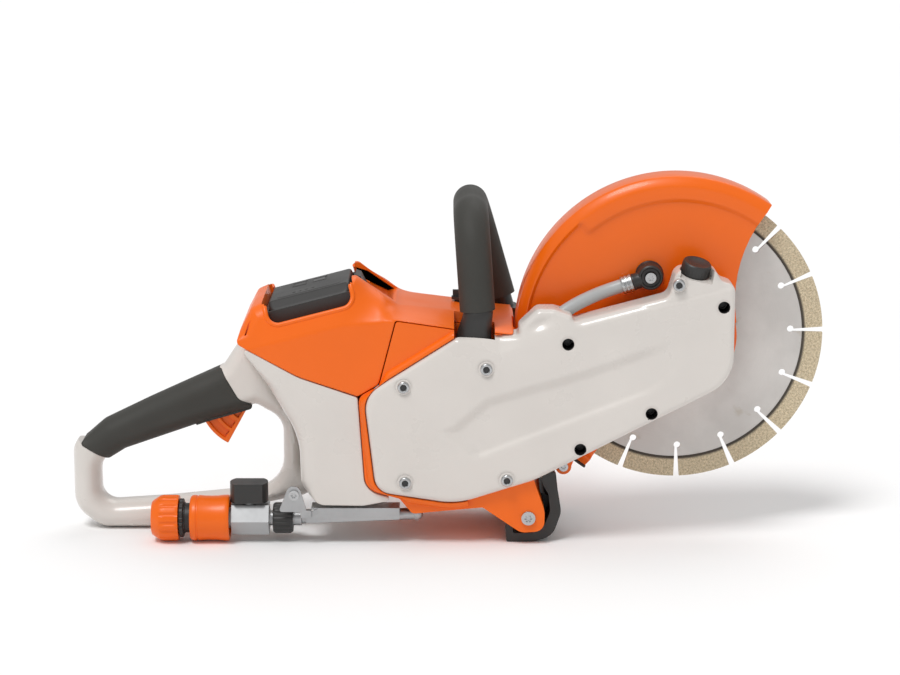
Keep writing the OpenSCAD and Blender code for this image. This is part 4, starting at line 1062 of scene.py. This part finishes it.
def lock_button():
    def ribs(r, h, turn):
        return r - 0.2 * (math.cos(math.radians(turn * 24)) < -0.2) if r > 10.9 and 0.5 < h < 5.5 else r

    profile = [(0, -19), (2.5, -19), (2.5, -14), (4.9, -14), (4.9, -1), (10.6, -1), (11.1, -0.4),
               (11.1, 1), (11.1, 4), (11.1, 6.6), (10.9, 8.1), (10.2, 8.9), (9.3, 9), (8, 8.5), (5, 7.6),
               (0, 7.2)]
    lock = Matrix.Translation(Vector(LOCK_AT)) @ LOCK_AXIS
    piece("lock_button_cap", placed(revolved(profile, 144, ribs), lock), "black_plastic",
          "spindle_lock_button", "lock_button_body", 30)


# ---------- hose coupling ----------

WATER_AXIS = matrix_at((0, -55, 18), (1, 0, 0))


def fluted(count, depth, low, high, first, last):
    """Radius change that cuts a ring of flutes between two places along a turned part."""
    def shape(r, h, turn):
        if r < low or r > high or not first < h < last:
            return r
        return r - depth * max(0.0, math.cos(math.radians(turn * count))) ** 0.7
    return shape


def coupling():
    nut = [(9, -228), (12.4, -228), (13.4, -227.4), (16.6, -222.6), (17.2, -221.4), (17.7, -219),
           (17.7, -217), (17.7, -210), (17.7, -208.6), (17.3, -207), (13.5, -207), (13.5, -218), (9, -220)]
    piece("coupling_nut", placed(revolved(nut, 192, fluted(16, 0.9, 17.5, 18, -219.5, -208)), WATER_AXIS),
          "orange_plastic", "hose_nut", crease=30)
    body = [(4, -224), (6, -224), (6, -207), (10, -206.6), (14.6, -206.4), (15, -206), (15, -203.8),
            (14.6, -203.4), (12.2, -203.2), (12.2, -202.4), (11.5, -202), (11.5, -173.8), (11.1, -173.4),
            (4, -173.4)]
    collar = fluted(24, 0.7, 14.8, 15.2, -206.2, -203.6)
    piece("coupling_body", placed(revolved(body, 192, collar), WATER_AXIS),
          "black_plastic", "connector_body", crease=30)
    sleeve = [(11.8, -198), (16, -198), (16.5, -197.8), (17.4, -196.6), (17.6, -195), (17.6, -193.4),
              (17.1, -192.8), (17.1, -192), (17.6, -191.4), (17.2, -187), (17.1, -182), (17.2, -177),
              (17.7, -172.6), (17.8, -171), (17.8, -169), (17.4, -168), (16.9, -167.6), (14.6, -167.6),
              (14.6, -172), (11.8, -172.5)]
    piece("quick_release_sleeve", placed(revolved(sleeve, 128), WATER_AXIS), "orange_plastic",
          "release_sleeve", "sleeve_body", 30)
    union = [(6, -134), (10.6, -134), (11.4, -133.4), (12, -132), (12, -130), (12, -122), (12, -121),
             (11.2, -119.4), (10.4, -118.6), (6, -118.6)]
    knurl = fluted(20, 0.7, 11.9, 12.1, -132.5, -120.5)
    piece("union_nut_knurled", placed(revolved(union, 180, knurl), WATER_AXIS),
          "black_plastic", "union_nut", crease=30)


# ---------- cover screws and handle foot ----------

SOCKET_LOBES = 6


def screw_shape(x, z, seat_y, head_r, head_t, shank_r, end_y):
    """A round-headed screw along Y whose head stands on seat_y, and a dark plug of painted shade in its
    socket.
    """
    socket = 0.56 * head_r
    head = [(socket, 0.2), (socket, head_t - 0.25), (socket + 0.35, head_t), (0.8 * head_r, head_t),
            (0.93 * head_r, head_t - 0.3), (head_r, head_t - 0.9), (head_r, 0), (shank_r, 0),
            (shank_r, seat_y - end_y), (0, seat_y - end_y), (0, 0.2)]
    # dark plug set into the socket: painted shade where the recess falls dark
    socket_shade = [(0.0, 0.25), (0.98 * socket, 0.25), (0.98 * socket, head_t - 0.5), (0.0, head_t - 0.5)]

    def lobes(r, h, turn):
        return r * (0.93 + 0.07 * math.cos(math.radians(turn * SOCKET_LOBES)))

    at = matrix_at((x, seat_y, z), (0, -1, 0))
    return placed(revolved(head, 48), at), placed(revolved(socket_shade, 48, lobes), at)


def cover_screws():
    flush = [screw_shape(x, z, FACE_Y, 4.6, 2.4, 2, FACE_Y + (27 if z > 200 else 34))
             for x, z in FLUSH_SCREWS]
    seat = FACE_Y + SUNK_DEPTH
    sunk = [screw_shape(x, z, seat, 4.2, 2.6, 2, seat + 20) for x, z in SUNK_SCREWS]
    piece("cover_screws_flush", joined(*[head for head, _ in flush]), "steel", "cover_screws")
    piece("cover_screws_sunk", joined(*[head for head, _ in sunk]), "steel", "cover_screws",
          finish=FINISHES["black_metal"])
    # black plugs in every socket: painted shade, not the screws' own colour
    piece("cover_screw_socket_shade", joined(*[socket_shade for _, socket_shade in flush + sunk]), "steel", "cover_screws",
          finish=FINISHES["black_metal"])
    # black sleeves on the walls of the sunk screw holes in the pale cover: painted shade inside the holes
    hole_shade_ring = [(4.3, 0.3), (4.55, 0.3), (4.55, SUNK_DEPTH - 1.2), (4.3, SUNK_DEPTH - 1.2)]
    hole_shade_rings = [placed(revolved(hole_shade_ring, 48), matrix_at((x, seat, z), (0, -1, 0))) for x, z in SUNK_SCREWS]
    piece("sunk_screw_hole_shade", joined(*hole_shade_rings), "light_plastic", "arm_cover",
          finish=FINISHES["black_plastic"])


FOOT_LEVELS = [     # z, first x, last x, first y, last y, corner radius
    (159.5, 8.2, 33.5, -68.6, -42.0, 8), (160.6, 7.4, 34.3, -69, -41.5, 9),
    (162.5, 7.6, 34.4, -69, -41.5, 10), (168, 9.4, 34.6, -68.8, -41.6, 11),
    (176, 12.2, 35.2, -68.6, -41.8, 12), (181.4, 13.6, 35.8, -68.6, -41.8, 12),
    (182.5, 14.4, 35.4, -67.8, -42.4, 12)]


def handle_foot():
    """Boot of the front handle's right leg, narrower at the top."""
    rings = []
    for z, x0, x1, y0, y1, radius in FOOT_LEVELS:
        loop = arcs([(x0, y0, radius), (x1, y0, radius), (x1, y1, radius), (x0, y1, radius)], 7)
        rings.append([(x, y, z) for x, y in loop])
    faces = tube_faces(len(rings), len(rings[0]))
    obj = mesh_object("handle_boot_right", np.concatenate(rings), faces, crease=35)
    leg = matrix_at((19, -55, 252), (math.tan(math.radians(-4)), 0, 1))
    carve(obj, placed(cylinder(10.05, -86.5, -40), leg), placed(cylinder(13.7, -70, -40), leg))
    settle(obj, "black_plastic", "handle_foot_right")


# ---------- CAD nodes that keep their shape ----------

BEVELS = {
    "trigger": 0.7, "trigger_lockout": 0.7, "battery_tray": 0.5, "battery_latch": 0.6, "latch_pin": 0.2,
    "drive_housing": 1.0, "motor_cover": 2.0, "wheel_bolt": 0.5, "outer_flange": 0.4,
    "inner_flange": 0.4, "wheel_core": 0.15, "wheel_segments": 0.25, "guard_clamp_ring": 0.2,
    "guard_stop": 0.8, "spray_nozzles": 0.3, "elbow_screw": 0.3,
    "front_handle_sleeve": 0.6, "handle_foot_left": 1.6, "support_skid": 0.9,
    "bracket_screws": 0.3, "water_pipe": 0.3, "pipe_bracket": 0.2, "valve_body": 0.7,
    "valve_lever": 1.2, "filter_knob": 0.5, "control_board": 0.2, "trigger_switch": 0.4}
WELD = 0.00001


def finish_cad(kept):
    """Gives every CAD node that is shown its finish, and softens its edges."""
    slots = {row["node"]: row["material_slot"] for row in frame["record"]["subparts"]}
    for node, obj in frame["nodes"].items():
        if node not in kept:
            continue
        dress(obj, WHEEL_STEEL if node == "wheel_core" else FINISHES[slots[node]])
        if node in BEVELS:
            weld = obj.modifiers.new("weld", "WELD")
            weld.merge_threshold = WELD
            bevel = obj.modifiers.new("soft_edges", "BEVEL")
            bevel.width = BEVELS[node] * MM
            bevel.segments = 3
            bevel.limit_method = "ANGLE"
            bevel.angle_limit = math.radians(32)
            bevel.use_clamp_overlap = True
            normals = obj.modifiers.new("normals", "WEIGHTED_NORMAL")
            normals.keep_sharp = False


# ---------- stage ----------

def soft_sun(name, toward, strength, spread):
    """A distant lamp as wide as the spread in degrees, shining from a direction."""
    data = bpy.data.lights.new(name, "SUN")
    data.energy = strength
    data.angle = math.radians(spread)
    obj = bpy.data.objects.new(name, data)
    bpy.context.scene.collection.objects.link(obj)
    obj.rotation_euler = Vector(toward).to_track_quat("Z", "Y").to_euler()


def stage():
    floor = Finish("studio_floor", 0.9, specular=0.2)
    cloud = floor.spread(floor.noise(2.0), 0.0, 1.0)
    floor.colour(floor.blend(cloud, (0.93, 0.93, 0.93), (0.96, 0.96, 0.96)))
    span = 14.0
    corners = [(-span, -span, 0), (span, -span, 0), (span, span, 0), (-span, span, 0)]
    ground = mesh_object("studio_floor", corners, [(0, 1, 2, 3)], to_metres=False)
    dress(ground, floor.material)
    world = bpy.data.worlds.new("studio")
    world.use_nodes = True
    world.node_tree.nodes["Background"].inputs["Color"].default_value = (1, 1, 1, 1)
    world.node_tree.nodes["Background"].inputs["Strength"].default_value = 0.55
    bpy.context.scene.world = world
    bpy.context.scene.view_settings.view_transform = "Standard"
    soft_sun("key", (-0.3, -0.45, 1.0), 1.5, 20)
    soft_sun("back", (0.25, 0.6, 0.9), 0.5, 40)


def camera():
    data = bpy.data.cameras.new("camera")
    data.lens = 102.4
    data.sensor_width = 36.0
    obj = bpy.data.objects.new("camera", data)
    bpy.context.scene.collection.objects.link(obj)
    obj.location = (0.0029, -1.9722, 0.5542)
    target = Vector((0.0029, -0.013, 0.152))
    obj.rotation_euler = (target - obj.location).to_track_quat("-Z", "Y").to_euler()
    bpy.context.scene.camera = obj


REPLACED = {"arm_cover", "rear_housing_right", "rear_housing_left", "handle_grip", "top_housing", "battery",
            "wheel_guard", "water_hose", "hose_ferrule", "spindle_lock_button", "hose_nut",
            "connector_body", "release_sleeve", "union_nut", "water_elbow", "cover_screws",
            "handle_foot_right"}

arm_cover()
cover_rim()
rear_housing()
handle_grip()
top_housing()
battery()
guard_shell()
water_hose()
water_elbow()
hose_ferrule()
lock_button()
coupling()
cover_screws()
handle_foot()
finish_cad(set(frame["nodes"]) - REPLACED)
stage()
camera()
